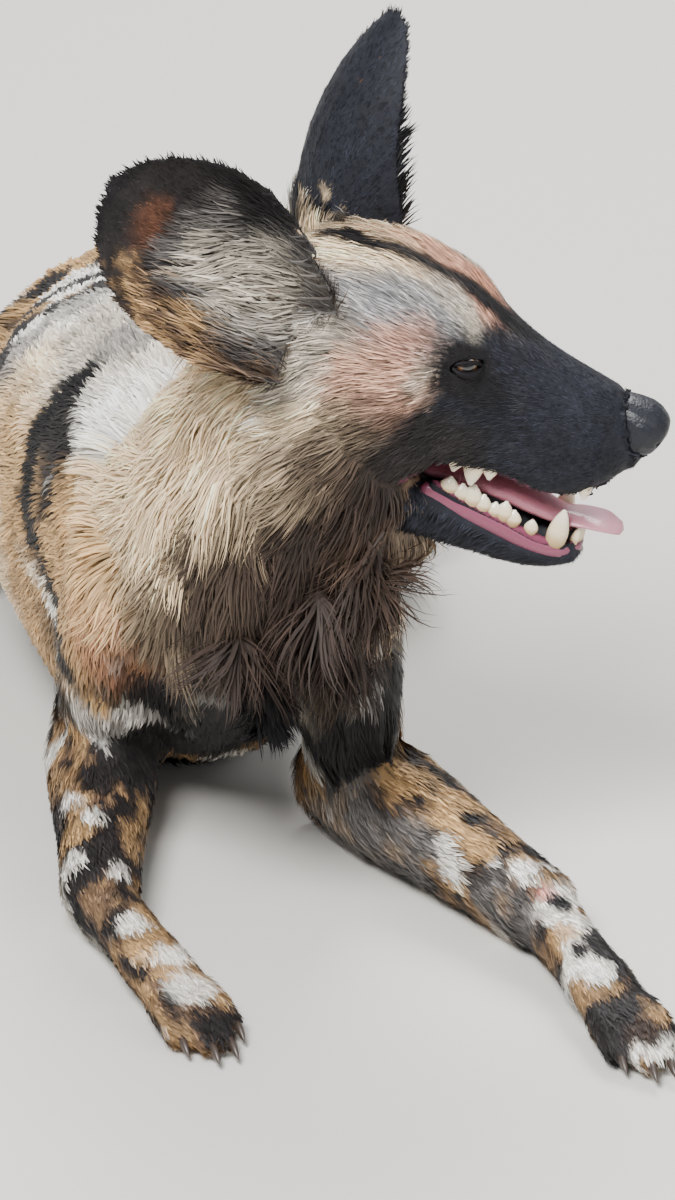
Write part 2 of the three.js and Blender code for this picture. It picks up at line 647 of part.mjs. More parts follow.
function clawGeometry({ tip }, { ahead, across, size }, grow = 0) {
  const start = tip.clone().addScaledVector(ahead, -2).setZ(10 * size);
  const rows = [
    rowAt(start, 3 + grow, 4 + grow),
    rowAt(start.clone().addScaledVector(ahead, 7 * size).add(V(0, 0, -0.5)), 2.5 + grow, 3.2 + grow),
    rowAt(start.clone().addScaledVector(ahead, 14 * size).add(V(0, 0, -4)), 0.9 + grow, 1.1 + grow),
  ];
  return limb({ rows, side: across, around: 5, along: 2, ends: [0.5, 0.7], domeRings: 1 });
}

// Hind legs, folded beside the belly
const hindLeg = {
  right: {
    hip: V(-22, 446, 120),
    knee: V(-140, 292, 88),
    hock: V(-108, 486, 40),
    wrist: V(-128, 468, 27),
    toward: V(-0.12, -0.993, 0),
  },
  left: {
    hip: V(104, 446, 120),
    knee: V(172, 290, 88),
    hock: V(162, 500, 40),
    wrist: V(178, 486, 27),
    toward: V(0.04, -0.999, 0),
  },
};
const HIND_PAW_LENGTH = 172;
function thigh({ hip, knee }, grow = 0) {
  const sideways = Math.sign(hip.x);
  return solid(
    limb({
      rows: [
        rowAt(between(hip, knee, -0.12, 0), 44, 58, 70),
        rowAt(between(hip, knee, 0.25, 2), 48, 64, 78),
        rowAt(between(hip, knee, 0.6, 0), 42, 56, 72),
        rowAt(between(hip, knee, 0.92, 0), 32, 40, 52),
      ],
      side: V(1, 0.5 * sideways, 0.25 * sideways),
      around: 14,
      along: 6,
      grow,
      ends: [0.5, 0.8],
    }),
  );
}
function shank({ knee, hock }, grow = 0) {
  const outward = V(Math.sign(hock.x), 0.15, 0);
  return solid(
    limb({
      rows: [
        rowAt(between(knee, hock, 0.02, -18), 28, 40, 50),
        rowAt(between(knee, hock, 0.35, -4), 28, 34, 40),
        rowAt(between(knee, hock, 0.7, 0), 20, 23, 26),
        rowAt(between(knee, hock, 1.0, 0), 17, 19, 30),
      ],
      side: outward,
      around: 10,
      along: 6,
      grow,
      ends: [0.6, 0.9],
    }),
  );
}

// Tail: down from the rump and round to the left on the floor
const tailRows = [
  rowAt(V(62, 524, 110), 30, 30),
  rowAt(V(68, 584, 82), 24, 24),
  rowAt(V(80, 622, 48), TAIL_RADIUS, TAIL_RADIUS),
  rowAt(V(112, 642, 27), TAIL_RADIUS, TAIL_RADIUS, 30),
  rowAt(V(160, 644, 24), TAIL_RADIUS + 1, TAIL_RADIUS, 28),
  rowAt(V(208, 622, 22), TAIL_RADIUS, TAIL_RADIUS - 1, 26),
  rowAt(V(246, 584, 19), TAIL_RADIUS - 5, TAIL_RADIUS - 5, 22),
];
const TAIL_SPLIT = 3;
const tailPart = (rows, ends, grow = 0) => limb({ rows, side: V(1, -0.4, 0), around: 9, along: Math.round(rows.length * 1.6), grow, ends });
const tailRoot = (grow = 0) => solid(tailPart(tailRows.slice(0, TAIL_SPLIT + 1), [0.3, 0.15], grow));

// Locks set on a limb's surface in rings, each a little different
function locksOn({ rows, side, stations, perRing, draw, keep, shape }) {
  const frame = limbFrame(rows, side);
  const locks = [];
  stations.forEach((t, ringIndex) => {
    const { centre, ahead, across, up } = frame(t);
    for (let i = 0; i < perRing; i++) {
      const angle = (2 * Math.PI * (i + (ringIndex % 2) * 0.5 + (draw() - 0.5) * 0.25)) / perRing;
      const [wide, top, under] = ["wide", "top", "under"].map((key) => alongRows(rows, key, t));
      const [a, b] = sectionPoint(angle, wide, top, under, 2);
      const offset = across.clone().multiplyScalar(a).addScaledVector(up, b);
      const root = centre.clone().add(offset);
      const out = across.clone().multiplyScalar(a / wide ** 2).addScaledVector(up, b / (b > 0 ? top : under) ** 2).normalize();
      const spot = { t, angle, root, out, ahead, draw };
      if (keep(spot)) locks.push(solid(lock({ root, out, ...shape(spot) })));
    }
  });
  return locks;
}
// The direction that lies in the surface and is nearest to a wished one
const laidAlong = (wish, out) => wish.clone().addScaledVector(out, -wish.dot(out)).normalize();

function ruffLocks() {
  const bodyward = V(-0.1, 0.25, -1);
  return locksOn({
    rows: neckRows,
    side: V(1, 0.35, 0),
    stations: [0.2, 0.36, 0.52, 0.68, 0.84],
    perRing: 10,
    draw: seededDraw(7),
    keep: () => true,
    shape: ({ out, draw }) => {
      const throat = clamp(0.5 - out.y * 0.6 - out.z * 0.5, 0, 1);
      const wish = bodyward.clone().addScaledVector(V(0, 1, 0.35), 1 - throat);
      return {
        lie: laidAlong(wish, out),
        length: lerp(50, 80, throat) * (0.88 + 0.24 * draw()),
        wide: lerp(33, 30, throat),
        thick: 6,
        lift: lerp(5, 10, throat),
        droop: 4 * throat,
      };
    },
  });
}
function brushLocks(rows) {
  return locksOn({
    rows,
    side: V(1, -0.4, 0),
    stations: [0.08, 0.26, 0.44, 0.62, 0.8, 0.96],
    perRing: 6,
    draw: seededDraw(19),
    keep: ({ out }) => out.z > -0.75,
    shape: ({ t, out, ahead, draw }) => ({
      lie: laidAlong(ahead, out),
      length: lerp(58, 80, t) * (0.9 + 0.2 * draw()),
      wide: 22,
      thick: 7,
      lift: 11,
      droop: 5,
    }),
  });
}

// Floor: everything is cut flat at z = 0
const FLOOR_SIZE = 3000;
const floor = solid(new THREE.BoxGeometry(FLOOR_SIZE, FLOOR_SIZE, 200), new THREE.Matrix4().setPosition(0, 250, -100));

// Build and part the body
const dog = new THREE.Group();
const head = new THREE.Group();
head.matrixAutoUpdate = false;
head.matrix.copy(headMatrix);
dog.add(head);
const place = (name, body, colour, roughness) => dog.add(meshOf(name, body.subtract(floor), colour, roughness));
const placeOnHead = (name, body, colour, roughness) => head.add(meshOf(name, body, colour, roughness));

// Head and what it carries, in the head's own frame
const headForm = solid(headGeometry());
const headGrown = solid(headGeometry(GAP));
const lids = bothSides(eyeCentre, (centre) => ball(centre, EYE_RADIUS + LID_THICKNESS));
const eyeHoles = bothSides(eyeCentre, (centre) => ball(centre, EYE_RADIUS + GAP));
const slits = bothSides(eyeCentre, slitCutter);
const upperJaw = union([headForm, ...lids]).subtract(mouthHollow());
const carved = without(upperJaw, ...eyeHoles, ...slits, noseForm(GAP));
const headSolid = union([carved, ...toothRow(upperTeeth), ...incisors(-32, -31, -40)]);
placeOnHead("head", headSolid, COLOURS.darkCoat);
bothSides(eyeCentre, (centre, sign) =>
  placeOnHead(sign > 0 ? "eye_left" : "eye_right", ball(centre, EYE_RADIUS), COLOURS.eye, 0.1),
);
placeOnHead("nose_leather", without(noseForm(), nostril(1), nostril(-1)), COLOURS.noseLeather, 0.35);

const jawFlesh = without(union([jawForm(), gum(1), gum(-1), chinGum()]), headGrown, tongueForm(GAP));
const jawSolid = without(union([jawFlesh, ...toothRow(lowerTeeth), ...incisors(-38, -87, -77.5)]), tongueForm(GAP), headGrown);
placeOnHead("lower_jaw", jawSolid, COLOURS.darkCoat);
const tongueSolid = without(tongueForm(), headGrown);
placeOnHead("tongue", tongueSolid, COLOURS.tongue, 0.4);
for (const [name, plan] of Object.entries(ears)) {
  placeOnHead(name, solid(earGeometry(plan)).subtract(headGrown), COLOURS.darkCoat);
}

// Trunk and legs
const torso = torsoForm();
const torsoGrown = torsoForm(GAP);
place("torso", torso, COLOURS.coat);
const armForms = [];
for (const [sideName, leg] of Object.entries(foreleg)) {
  const plan = pawPlan(leg, PAW_LENGTH, 1);
  const armGrown = upperArm(leg, GAP);
  const forearmGrown = forearm(leg, GAP);
  armForms.push(armGrown, forearmGrown);
  place(`upper_arm_${sideName}`, without(upperArm(leg), torsoGrown), COLOURS.coat);
  place(`forearm_${sideName}`, without(forearm(leg), armGrown, torsoGrown), COLOURS.darkCoat);
  const claws = plan.toes.map((toe) => solid(clawGeometry(toe, plan)));
  const clawHoles = plan.toes.map((toe) => solid(clawGeometry(toe, plan, GAP)));
  place(`forepaw_${sideName}`, without(paw(plan), forearmGrown, ...clawHoles), COLOURS.darkCoat);
  claws.forEach((claw, i) => place(`claw_fore_${sideName}_${i + 1}`, claw, COLOURS.claw, 0.4));
}
const hindForms = [];
for (const [sideName, leg] of Object.entries(hindLeg)) {
  const plan = pawPlan(leg, HIND_PAW_LENGTH, 0.92);
  const thighGrown = thigh(leg, GAP);
  const shankGrown = shank(leg, GAP);
  const pawGrown = paw(plan, GAP);
  hindForms.push(thighGrown, shankGrown, pawGrown);
  place(`thigh_${sideName}`, without(thigh(leg), torsoGrown), COLOURS.coat);
  place(`shank_${sideName}`, without(shank(leg), thighGrown, torsoGrown), COLOURS.coat);
  const clawHoles = plan.toes.map((toe) => solid(clawGeometry(toe, plan, GAP)));
  place(`hind_paw_${sideName}`, without(paw(plan), shankGrown, thighGrown, torsoGrown, ...clawHoles), COLOURS.darkCoat);
  plan.toes.forEach((toe, i) => {
    place(`claw_hind_${sideName}_${i + 1}`, without(solid(clawGeometry(toe, plan)), shankGrown, thighGrown), COLOURS.claw, 0.4);
  });
}

// Tail in two lengths, the outer one with its brush
const tailTipRows = tailRows.slice(TAIL_SPLIT - 1);
const tailRootGrown = tailRoot(GAP);
place("tail_root", without(tailRoot(), torsoGrown, ...hindForms), COLOURS.coat);
const brush = union([solid(tailPart(tailTipRows, [0.1, 0.9])), ...brushLocks(tailTipRows)]);
place("tail_brush", without(brush, tailRootGrown, ...hindForms), COLOURS.paleCoat);

// Neck last, cut clear of all that it meets
const neck = union([solid(neckGeometry()), ...ruffLocks()]);
const earsInWorld = Object.values(ears).map((plan) => solid(earGeometry({ ...plan, grow: GAP }), headMatrix));
const headInWorld = solid(headGeometry(GAP), headMatrix);
const jawInWorld = union([jawForm(GAP, headMatrix), gum(1, GAP, headMatrix), gum(-1, GAP, headMatrix)]);
const tongueInWorld = tongueForm(GAP, headMatrix);
place("neck", without(neck, headInWorld, jawInWorld, tongueInWorld, ...earsInWorld, torsoGrown, ...armForms), COLOURS.coat);

// The origin is the middle of the footprint, on the floor
dog.updateMatrixWorld(true);
const extent = new THREE.Box3().setFromObject(dog, true);
const middle = extent.getCenter(V(0, 0, 0));
const model = new THREE.Group();
dog.position.set(-middle.x, -middle.y, 0);
model.add(dog);

export default model;
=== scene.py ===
"""Looks of a life-size African wild dog that lies on its chest with its head turned to its left.

The CAD solids give the shape. One skin is laid over them, markings are painted on it by named patches,
and tufts of coat are set along the lie of the fur. Lengths are millimetres in a design frame whose origin
lies under the middle of the chest, with -Y ahead of the dog, +X on its left and +Z up.
"""
import logging
import math
from dataclasses import dataclass, fields, replace
from enum import Enum
from typing import Callable, Iterable, Sequence

import bmesh
import bpy
import numpy as np
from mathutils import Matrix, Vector
from mathutils.bvhtree import BVHTree
from mathutils.kdtree import KDTree


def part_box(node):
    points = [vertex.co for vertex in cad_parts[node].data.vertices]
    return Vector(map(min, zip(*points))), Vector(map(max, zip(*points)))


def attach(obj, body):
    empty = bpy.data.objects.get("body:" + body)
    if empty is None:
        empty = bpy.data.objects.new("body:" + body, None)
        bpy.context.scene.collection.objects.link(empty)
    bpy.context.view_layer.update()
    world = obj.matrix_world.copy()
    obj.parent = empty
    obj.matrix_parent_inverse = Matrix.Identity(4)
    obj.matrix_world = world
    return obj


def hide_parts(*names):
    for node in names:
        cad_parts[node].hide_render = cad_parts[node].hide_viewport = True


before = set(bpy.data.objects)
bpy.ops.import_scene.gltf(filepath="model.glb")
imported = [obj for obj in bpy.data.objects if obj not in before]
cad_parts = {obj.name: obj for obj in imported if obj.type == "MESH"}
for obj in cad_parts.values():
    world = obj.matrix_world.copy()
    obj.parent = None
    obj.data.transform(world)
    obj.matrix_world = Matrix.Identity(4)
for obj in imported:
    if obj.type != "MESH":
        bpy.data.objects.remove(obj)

logging.basicConfig(level=logging.INFO, format="%(message)s")
log = logging.getLogger("wild_dog")

MM = 0.001
WELD = 0.02
Array = np.ndarray
Colour = tuple[float, float, float]
Mesh = bpy.types.Mesh
Material = bpy.types.Material
Object = bpy.types.Object

# Driving dimensions, which are those of the solids
NOSE_TIP = (252.0, -172.0, 339.0)
HEAD_TURN_DEG = 72.0
HEAD_PITCH_DEG = 12.5
EYE_CENTRE = (-133.0, 32.0, 23.5)
EYE_RADIUS = 11.5
EYE_LOOK = (0.4, 0.88, 0.18)

# Colours of the coat and of the bare parts, as linear light
BLACK: Colour = (0.006, 0.005, 0.006)
SOOT: Colour = (0.017, 0.014, 0.014)
# Black coat with a painted blue sheen of sky light in its tint
BLACK_WITH_BLUE_SHEEN: Colour = (0.012, 0.013, 0.019)
UMBER: Colour = (0.032, 0.020, 0.015)
BROWN: Colour = (0.115, 0.070, 0.042)
GREY: Colour = (0.190, 0.176, 0.165)
COOL_GREY: Colour = (0.205, 0.200, 0.200)
PALE_GREY: Colour = (0.410, 0.360, 0.290)
TAN: Colour = (0.480, 0.290, 0.125)
RUSSET: Colour = (0.360, 0.140, 0.075)
SALMON: Colour = (0.500, 0.225, 0.135)
CREAM: Colour = (0.780, 0.590, 0.370)
WHITE: Colour = (0.880, 0.830, 0.750)
STAIN: Colour = (0.420, 0.130, 0.110)
GUM: Colour = (0.200, 0.045, 0.085)
HORN: Colour = (0.050, 0.035, 0.028)
BARE_SKIN: Colour = (0.090, 0.035, 0.018)


class Place(Enum):
    """The frame that a named place is given in."""

    BODY = "body"
    HEAD = "head"


class Frames:
    """Turns named places in the design frames into the row frame, and back."""

    def __init__(self) -> None:
        """Works out the head's axes and where the design frame stands in the row frame."""
        turn, pitch = math.radians(HEAD_TURN_DEG), math.radians(HEAD_PITCH_DEG)
        ahead = Vector(
            (math.sin(turn) * math.cos(pitch), -math.cos(turn) * math.cos(pitch), -math.sin(pitch))
        )
        left = Vector((0, 0, 1)).cross(ahead).normalized()
        up = ahead.cross(left)
        self.head_axes = np.array([ahead, left, up])
        low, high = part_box("eye_left")
        eye = np.array((low + high) / 2) / MM
        self.shift = eye - (np.array(NOSE_TIP) + np.array(EYE_CENTRE) @ self.head_axes)
        self.shift[2] = 0.0

    def to_row(self, points: Array, place: Place = Place.BODY) -> Array:
        """Millimetres in a design frame to millimetres in the row frame.

        Args:
            points: places in mm.
            place: the frame that the places are given in.

        Returns:
            The places in the row frame.
        """
        points = np.asarray(points, float)
        if place is Place.HEAD:
            points = points @ self.head_axes + np.array(NOSE_TIP)
        return points + self.shift

    def aim(self, directions: Array, place: Place = Place.BODY) -> Array:
        """Directions in a design frame, turned into the row frame."""
        directions = np.asarray(directions, float)
        return directions @ self.head_axes if place is Place.HEAD else directions

    def from_row(self, points: Array, place: Place = Place.BODY) -> Array:
        """Millimetres in the row frame to millimetres in a design frame.

        Args:
            points: places in mm.
            place: the frame that the places are given in.

        Returns:
            The places in the design frame.
        """
        points = np.asarray(points, float) - self.shift
        if place is Place.HEAD:
            return (points - np.array(NOSE_TIP)) @ self.head_axes.T
        return points


FRAMES = Frames()


class Grain:
    """Smooth seeded noise, which gives a value from -1 to 1 at any place."""

    CELLS = 32

    def __init__(self, seed: int) -> None:
        """Draws the table of chance that the noise reads."""
        self.table = np.random.default_rng(seed).uniform(-1, 1, (self.CELLS,) * 3)

    def at(self, points: Array, wave: float, octaves: int = 1) -> Array:
        """Noise at each point, with features about one wave (mm) across.

        Args:
            points: places in mm.
            wave: the size of a feature in mm.
            octaves: how many layers are added, each finer than the last.

        Returns:
            One value for each point.
        """
        total, size, whole = np.zeros(len(points)), 1.0, 0.0
        for octave in range(octaves):
            total += size * self._layer(points * (2.0**octave / wave) + 7.3 * octave)
            whole += size
            size *= 0.5
        return total / whole

    def _layer(self, scaled: Array) -> Array:
        """One octave of the noise, blended between the corners of its cells.

        Args:
            scaled: places counted in cells.

        Returns:
            One value for each place.
        """
        cell = np.floor(scaled).astype(int)
        part = scaled - cell
        part = part * part * (3 - 2 * part)
        value = np.zeros(len(scaled))
        for corner in range(8):
            step = np.array([(corner >> axis) & 1 for axis in range(3)])
            index = (cell + step) % self.CELLS
            share = np.prod(np.where(step, part, 1 - part), axis=1)
            value += share * self.table[index[:, 0], index[:, 1], index[:, 2]]
        return value * 1.5


def smooth_step(low: float, high: float, value: Array) -> Array:
    """0 below low, 1 above high and a soft rise between them."""
    share = np.clip((value - low) / (high - low), 0, 1)
    return share * share * (3 - 2 * share)


def unit(vectors: Array) -> Array:
    """The same directions with length 1."""
    return vectors / np.maximum(np.linalg.norm(vectors, axis=-1, keepdims=True), 1e-9)


def plain(colour: Colour, count: int) -> Array:
    """One colour for a number of points."""
    return np.tile(np.array(colour), (count, 1))


def mix(first: Array, second: Array | Colour, share: Array) -> Array:
    """A blend of two colours for each point."""
    return first + (np.asarray(second) - first) * share[:, None]


# Surfaces as arrays


@dataclass
class Surface:
    """Points (mm, row frame) and faces of three or four corners."""

    points: Array
    faces: Array

    def normals(self) -> Array:
        """The outward direction at each point.

        Returns:
            Unit directions.
        """
        a, b, c = (self.points[self.faces[:, k]] for k in range(3))
        d = self.points[self.faces[:, -1]]
        across = np.cross(c - a, d - b) if self.faces.shape[1] == 4 else np.cross(b - a, c - a)
        total = np.zeros_like(self.points)
        for corner in range(self.faces.shape[1]):
            total += gather(self.faces[:, corner], across, len(self.points))
        return unit(total)

    def edges(self) -> Array:
        """Each pair of joined points once.

        Returns:
            Rows of two point numbers.
        """
        turned = np.roll(self.faces, -1, axis=1)
        pairs = np.stack([self.faces.ravel(), turned.ravel()], axis=1)
        pairs.sort(axis=1)
        keys = np.unique(pairs[:, 0].astype(np.int64) * len(self.points) + pairs[:, 1])
        return np.stack([keys // len(self.points), keys % len(self.points)], axis=1)


def gather(index: Array, values: Array, count: int) -> Array:
    """Adds the values that share an index."""
    columns = [np.bincount(index, values[:, k], count) for k in range(values.shape[1])]
    return np.stack(columns, axis=1)


def stand(name: str, data: bpy.types.ID) -> Object:
    """An object of the scene that shows a mesh, a lamp or a camera.

    Args:
        name: the object's name.
        data: the mesh, lamp or camera.

    Returns:
        The object.
    """
    made = bpy.data.objects.new(name, data)
    bpy.context.scene.collection.objects.link(made)
    return made


def settle(shape: bmesh.types.BMesh, name: str) -> Mesh:
    """Turns a working shape into a mesh and frees it.

    Args:
        shape: the working shape.
        name: the mesh's name.

    Returns:
        The mesh.
    """
    mesh = bpy.data.meshes.new(name)
    shape.to_mesh(mesh)
    shape.free()
    return mesh


def even_copy(names: Sequence[str], voxel: float) -> Surface:
    """A closed surface of even quads over copies of some CAD nodes.

    Args:
        names: the CAD nodes.
        voxel: the size of the quads in mm.

    Returns:
        The surface, in the row frame.
    """
    gathered = bmesh.new()
    for name in names:
        gathered.from_mesh(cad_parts[name].data)
    bmesh.ops.remove_doubles(gathered, verts=gathered.verts, dist=WELD * MM)
    mesh = settle(gathered, "source")
    source = stand("source", mesh)
    remesh = source.modifiers.new("even", "REMESH")
    remesh.mode = "VOXEL"
    remesh.voxel_size = voxel * MM
    made = bpy.data.meshes.new_from_object(source.evaluated_get(bpy.context.evaluated_depsgraph_get()))
    points = np.empty(len(made.vertices) * 3, np.float32)
    made.vertices.foreach_get("co", points)
    corners = np.empty(len(made.loops), np.int32)
    made.loops.foreach_get("vertex_index", corners)
    bpy.data.objects.remove(source)
    bpy.data.meshes.remove(mesh)
    bpy.data.meshes.remove(made)
    return Surface(points.reshape(-1, 3).astype(float) / MM, corners.reshape(-1, 4))


class Smoother:
    """Evens out values over the points of a surface."""

    def __init__(self, surface: Surface) -> None:
        """Notes which points are neighbours."""
        self.pairs = surface.edges()
        self.count = len(surface.points)
        self.near = np.bincount(self.pairs.ravel(), minlength=self.count).astype(float)

    def relax(self, points: Array, rounds: int) -> Array:
        """Smooths a shape and keeps its volume, by turns in and out.

        Args:
            points: places in mm.
            rounds: how many times.

        Returns:
            The smoothed points.
        """
        for _ in range(rounds):
            points = self.spread(points, 1, 0.5)
            points = self.spread(points, 1, -0.52)
        return points

    def spread(self, values: Array, rounds: int, strength: Array | float = 0.5) -> Array:
        """Moves each value towards the mean of its neighbours, several times.

        Args:
            values: one number or one row for each point.
            rounds: how many times.
            strength: how far a value moves, for all points or for each.

        Returns:
            The evened values.
        """
        flat = values.ndim == 1
        values = values[:, None] if flat else values
        weight = np.broadcast_to(np.asarray(strength, float), (self.count,))[:, None]
        a, b = self.pairs[:, 0], self.pairs[:, 1]
        for _ in range(rounds):
            total = gather(a, values[b], self.count) + gather(b, values[a], self.count)
            values = values + weight * (total / self.near[:, None] - values)
        return values[:, 0] if flat else values


# Socket wrapper and finishes


class Value:
    """A shader socket or number that works in plain sums."""

    def __init__(self, graph: "Graph", source: object) -> None:
        """Wraps an output of a node."""
        self.graph = graph
        self.source = source

    def _maths(self, operation: str, *terms: object) -> "Value":
        """A maths node on some terms."""
        return self.graph.node("ShaderNodeMath", {"operation": operation}, dict(enumerate(terms)))

    def __sub__(self, other: object) -> "Value":
        """This value less another."""
        return self._maths("SUBTRACT", self, other)

    def __mul__(self, other: object) -> "Value":
        """This value times another."""
        return self._maths("MULTIPLY", self, other)

    def __rsub__(self, other: object) -> "Value":
        """Another value less this one."""
        return self._maths("SUBTRACT", other, self)

    def __rmul__(self, other: object) -> "Value":
        """Another value times this one."""
        return self._maths("MULTIPLY", other, self)

    def clamped(self, low: float = 0.0, high: float = 1.0) -> "Value":
        """The value kept between two limits."""
        return self._maths("MAXIMUM", self._maths("MINIMUM", self, high), low)


class Graph:
    """A material's nodes, each made by one method."""

    def __init__(self, name: str) -> None:
        """Starts a material with its main shader."""
        self.material = bpy.data.materials.new(name)
        self.material.use_nodes = True
        self.tree = self.material.node_tree
        self.shader = self.tree.nodes["Principled BSDF"]

    def node(
        self, kind: str, settings: dict[str, object] | None = None,
        sockets: dict[object, object] | None = None, output: int | str = 0,
    ) -> Value:
        """Makes a node.

        Args:
            kind: the node's type.
            settings: its properties.
            sockets: its inputs by name or place, as numbers, colours or Values.
            output: which of its outputs to hand back.

        Returns:
            The output as a Value.
        """
        made = self.tree.nodes.new(kind)
        for name, setting in (settings or {}).items():
            setattr(made, name, setting)
        for key, value in (sockets or {}).items():
            self._feed(made.inputs[key], value)
        return Value(self, made.outputs[output])

    def _feed(self, socket: object, value: object) -> None:
        """Links a Value to a socket, or sets a constant on it.

        Args:
            socket: the socket of a node.
            value: a Value or a constant.
        """
        if isinstance(value, Value):
            self.tree.links.new(value.source, socket)
        else:
            socket.default_value = value

    def set(self, **sockets: object) -> None:
        """Sets or feeds the main shader's sockets, with spaces in their names written as underscores."""
        for name, value in sockets.items():
            self._feed(self.shader.inputs[name.replace("_", " ")], value)

    def bump(self, height: Value, strength: float, distance: float) -> None:
        """Feeds the shader's normal from a height.

        Args:
            height: the height as a Value.
            strength: how strong the relief is.
            distance: the height of the relief in metres.
        """
        normal = self.node(
            "ShaderNodeBump", {}, {"Height": height, "Strength": strength, "Distance": distance}
        )
        self.set(Normal=normal)


@dataclass(frozen=True)
class CoatFinish:
    """Fur or skin whose colour comes from the painted markings."""

    name: str
    roughness: float = 0.62
    sheen: float = 0.03
    specular: float = 0.22
    grain_scale: float = 900.0
    bump: float = 0.35

    def material(self) -> Material:
        """Makes the Blender material.

        Returns:
            The material.
        """
        graph = Graph(self.name)
        paint = graph.node("ShaderNodeAttribute", {"attribute_name": "coat"}, {}, "Color")
        wet = graph.node("ShaderNodeAttribute", {"attribute_name": "wet"}, {}, "Fac")
        place = graph.node("ShaderNodeTexCoord", {}, {}, "Object")
        grain = graph.node(
            "ShaderNodeTexNoise", {"noise_dimensions": "3D"},
            {"Vector": place, "Scale": self.grain_scale, "Detail": 2.0}, "Fac",
        )
        graph.set(Base_Color=paint, Specular_IOR_Level=self.specular)
        graph.set(Roughness=(self.roughness - wet * 0.36).clamped(0.12, 1.0))
        graph.set(Sheen_Weight=self.sheen, Sheen_Roughness=0.5)
        graph.bump(grain, self.bump, 0.0006)
        return graph.material


@dataclass(frozen=True)
class MoistFinish:
    """Bare moist skin, horn or tooth, with a fine relief."""

    name: str
    roughness: float
    coat: float
    scale: float
    bump: float
    soft: float = 0.0
    specular: float = 0.5
    pebbled: bool = False

    def material(self) -> Material:
        """Makes the Blender material.

        Returns:
            The material.
        """
        graph = Graph(self.name)
        paint = graph.node("ShaderNodeAttribute", {"attribute_name": "coat"}, {}, "Color")
        place = graph.node("ShaderNodeTexCoord", {}, {}, "Object")
        if self.pebbled:
            height = graph.node(
                "ShaderNodeTexVoronoi", {"feature": "SMOOTH_F1"},
                {"Vector": place, "Scale": self.scale, "Smoothness": 0.6}, "Distance",
            )
            height = 1.0 - height
        else:
            height = graph.node("ShaderNodeTexNoise", {}, {"Vector": place, "Scale": self.scale}, "Fac")
        graph.set(Base_Color=paint, Roughness=self.roughness, Coat_Weight=self.coat)
        graph.set(Coat_Roughness=0.12, Specular_IOR_Level=self.specular)
        if self.soft:
            graph.set(Subsurface_Weight=self.soft, Subsurface_Scale=0.004)
            graph.set(Subsurface_Radius=(1.0, 0.4, 0.3))
        graph.bump(height, self.bump, 0.0008)
        return graph.material


@dataclass(frozen=True)
class PlainFinish:
    """One even colour, for the floor."""

    name: str
    colour: Colour
    roughness: float = 0.9

    def material(self) -> Material:
        """Makes the Blender material.

        Returns:
            The material.
        """
        graph = Graph(self.name)
        graph.set(Base_Color=(*self.colour, 1.0), Roughness=self.roughness)
        return graph.material


def link(mesh: Mesh, name: str, material: Material) -> Object:
    """Shows a mesh as an object at the origin."""
    mesh.materials.append(material)
    return stand(name, mesh)


def paint_points(mesh: Mesh, name: str, colours: Array) -> None:
    """Writes a colour for each point.

    Args:
        mesh: the mesh.
        name: the attribute's name.
        colours: one colour for each point.
    """
    layer = mesh.color_attributes.new(name, "FLOAT_COLOR", "POINT")
    values = np.ones((len(mesh.vertices), 4), np.float32)
    values[:, :3] = colours
    layer.data.foreach_set("color", values.ravel())


def measure_points(mesh: Mesh, name: str, values: Array) -> None:
    """Writes a number for each point."""
    layer = mesh.attributes.new(name, "FLOAT", "POINT")
    layer.data.foreach_set("value", values.astype(np.float32))


def lay_out(mesh: Mesh, places: Array) -> None:
    """Writes an unwrap, as a place for each corner."""
    layer = mesh.uv_layers.new(name="OFBake")
    layer.data.foreach_set("uv", places.astype(np.float32).ravel())


def mesh_from_arrays(name: str, points: Array, faces: Sequence[Array]) -> Mesh:
    """A mesh from points (mm) and groups of faces, each group with its own number of corners.

    Args:
        name: the mesh's name.
        points: places in mm.
        faces: groups of faces, each with its own number of corners.

    Returns:
        The mesh, smooth shaded.
    """
    mesh = bpy.data.meshes.new(name)
    mesh.vertices.add(len(points))
    mesh.vertices.foreach_set("co", (np.asarray(points) * MM).astype(np.float32).ravel())
    corners = np.concatenate([group.ravel() for group in faces]).astype(np.int32)
    counts = np.concatenate([np.full(len(group), group.shape[1]) for group in faces])
    starts = np.concatenate([[0], np.cumsum(counts)[:-1]]).astype(np.int32)
    mesh.loops.add(len(corners))
    mesh.loops.foreach_set("vertex_index", corners)
    mesh.polygons.add(len(counts))
    mesh.polygons.foreach_set("loop_start", starts)
    mesh.update(calc_edges=True)
    mesh.shade_smooth()
    return mesh


# Coat: how deep, long and dense it is on each solid


@dataclass(frozen=True)
class Coat:
    """Coat of one solid: inset of the skin, tuft length and width (mm), tufts per square centimetre.

    Lift is the rise of a tuft as a share of its length, clump how far tufts gather to their leader and
    grizzle how much one tuft is darker or paler than the next.
    """

    inset: float
    length: float
    width: float
    density: float
    lift: float = 0.16
    clump: float = 0.35
    grizzle: float = 0.22


SHORT = Coat(inset=2.2, length=12, width=1.4, density=25, grizzle=0.42)
BODY = Coat(inset=4.0, length=21, width=1.9, density=17)
RUFF = Coat(inset=10.0, length=50, width=1.5, density=36, lift=0.2, clump=0.5, grizzle=0.22)
FACE = Coat(inset=0.9, length=7.5, width=0.85, density=58, lift=0.12, clump=0.2, grizzle=0.6)
NAPE = Coat(inset=1.2, length=24, width=1.3, density=38, clump=0.5, grizzle=0.5)
EAR = Coat(inset=0.1, length=7.5, width=0.9, density=38, lift=0.12, clump=0.3, grizzle=0.5)
PAW = Coat(inset=1.4, length=8.5, width=1.15, density=28, grizzle=0.42)
BRUSH = Coat(inset=9.0, length=28, width=1.8, density=24, lift=0.2, clump=0.6)


def both_sides(*parts: str) -> tuple[str, ...]:
    """Names of the left and right solids of some parts."""
    return tuple(f"{part}_{side}" for part in parts for side in ("left", "right"))


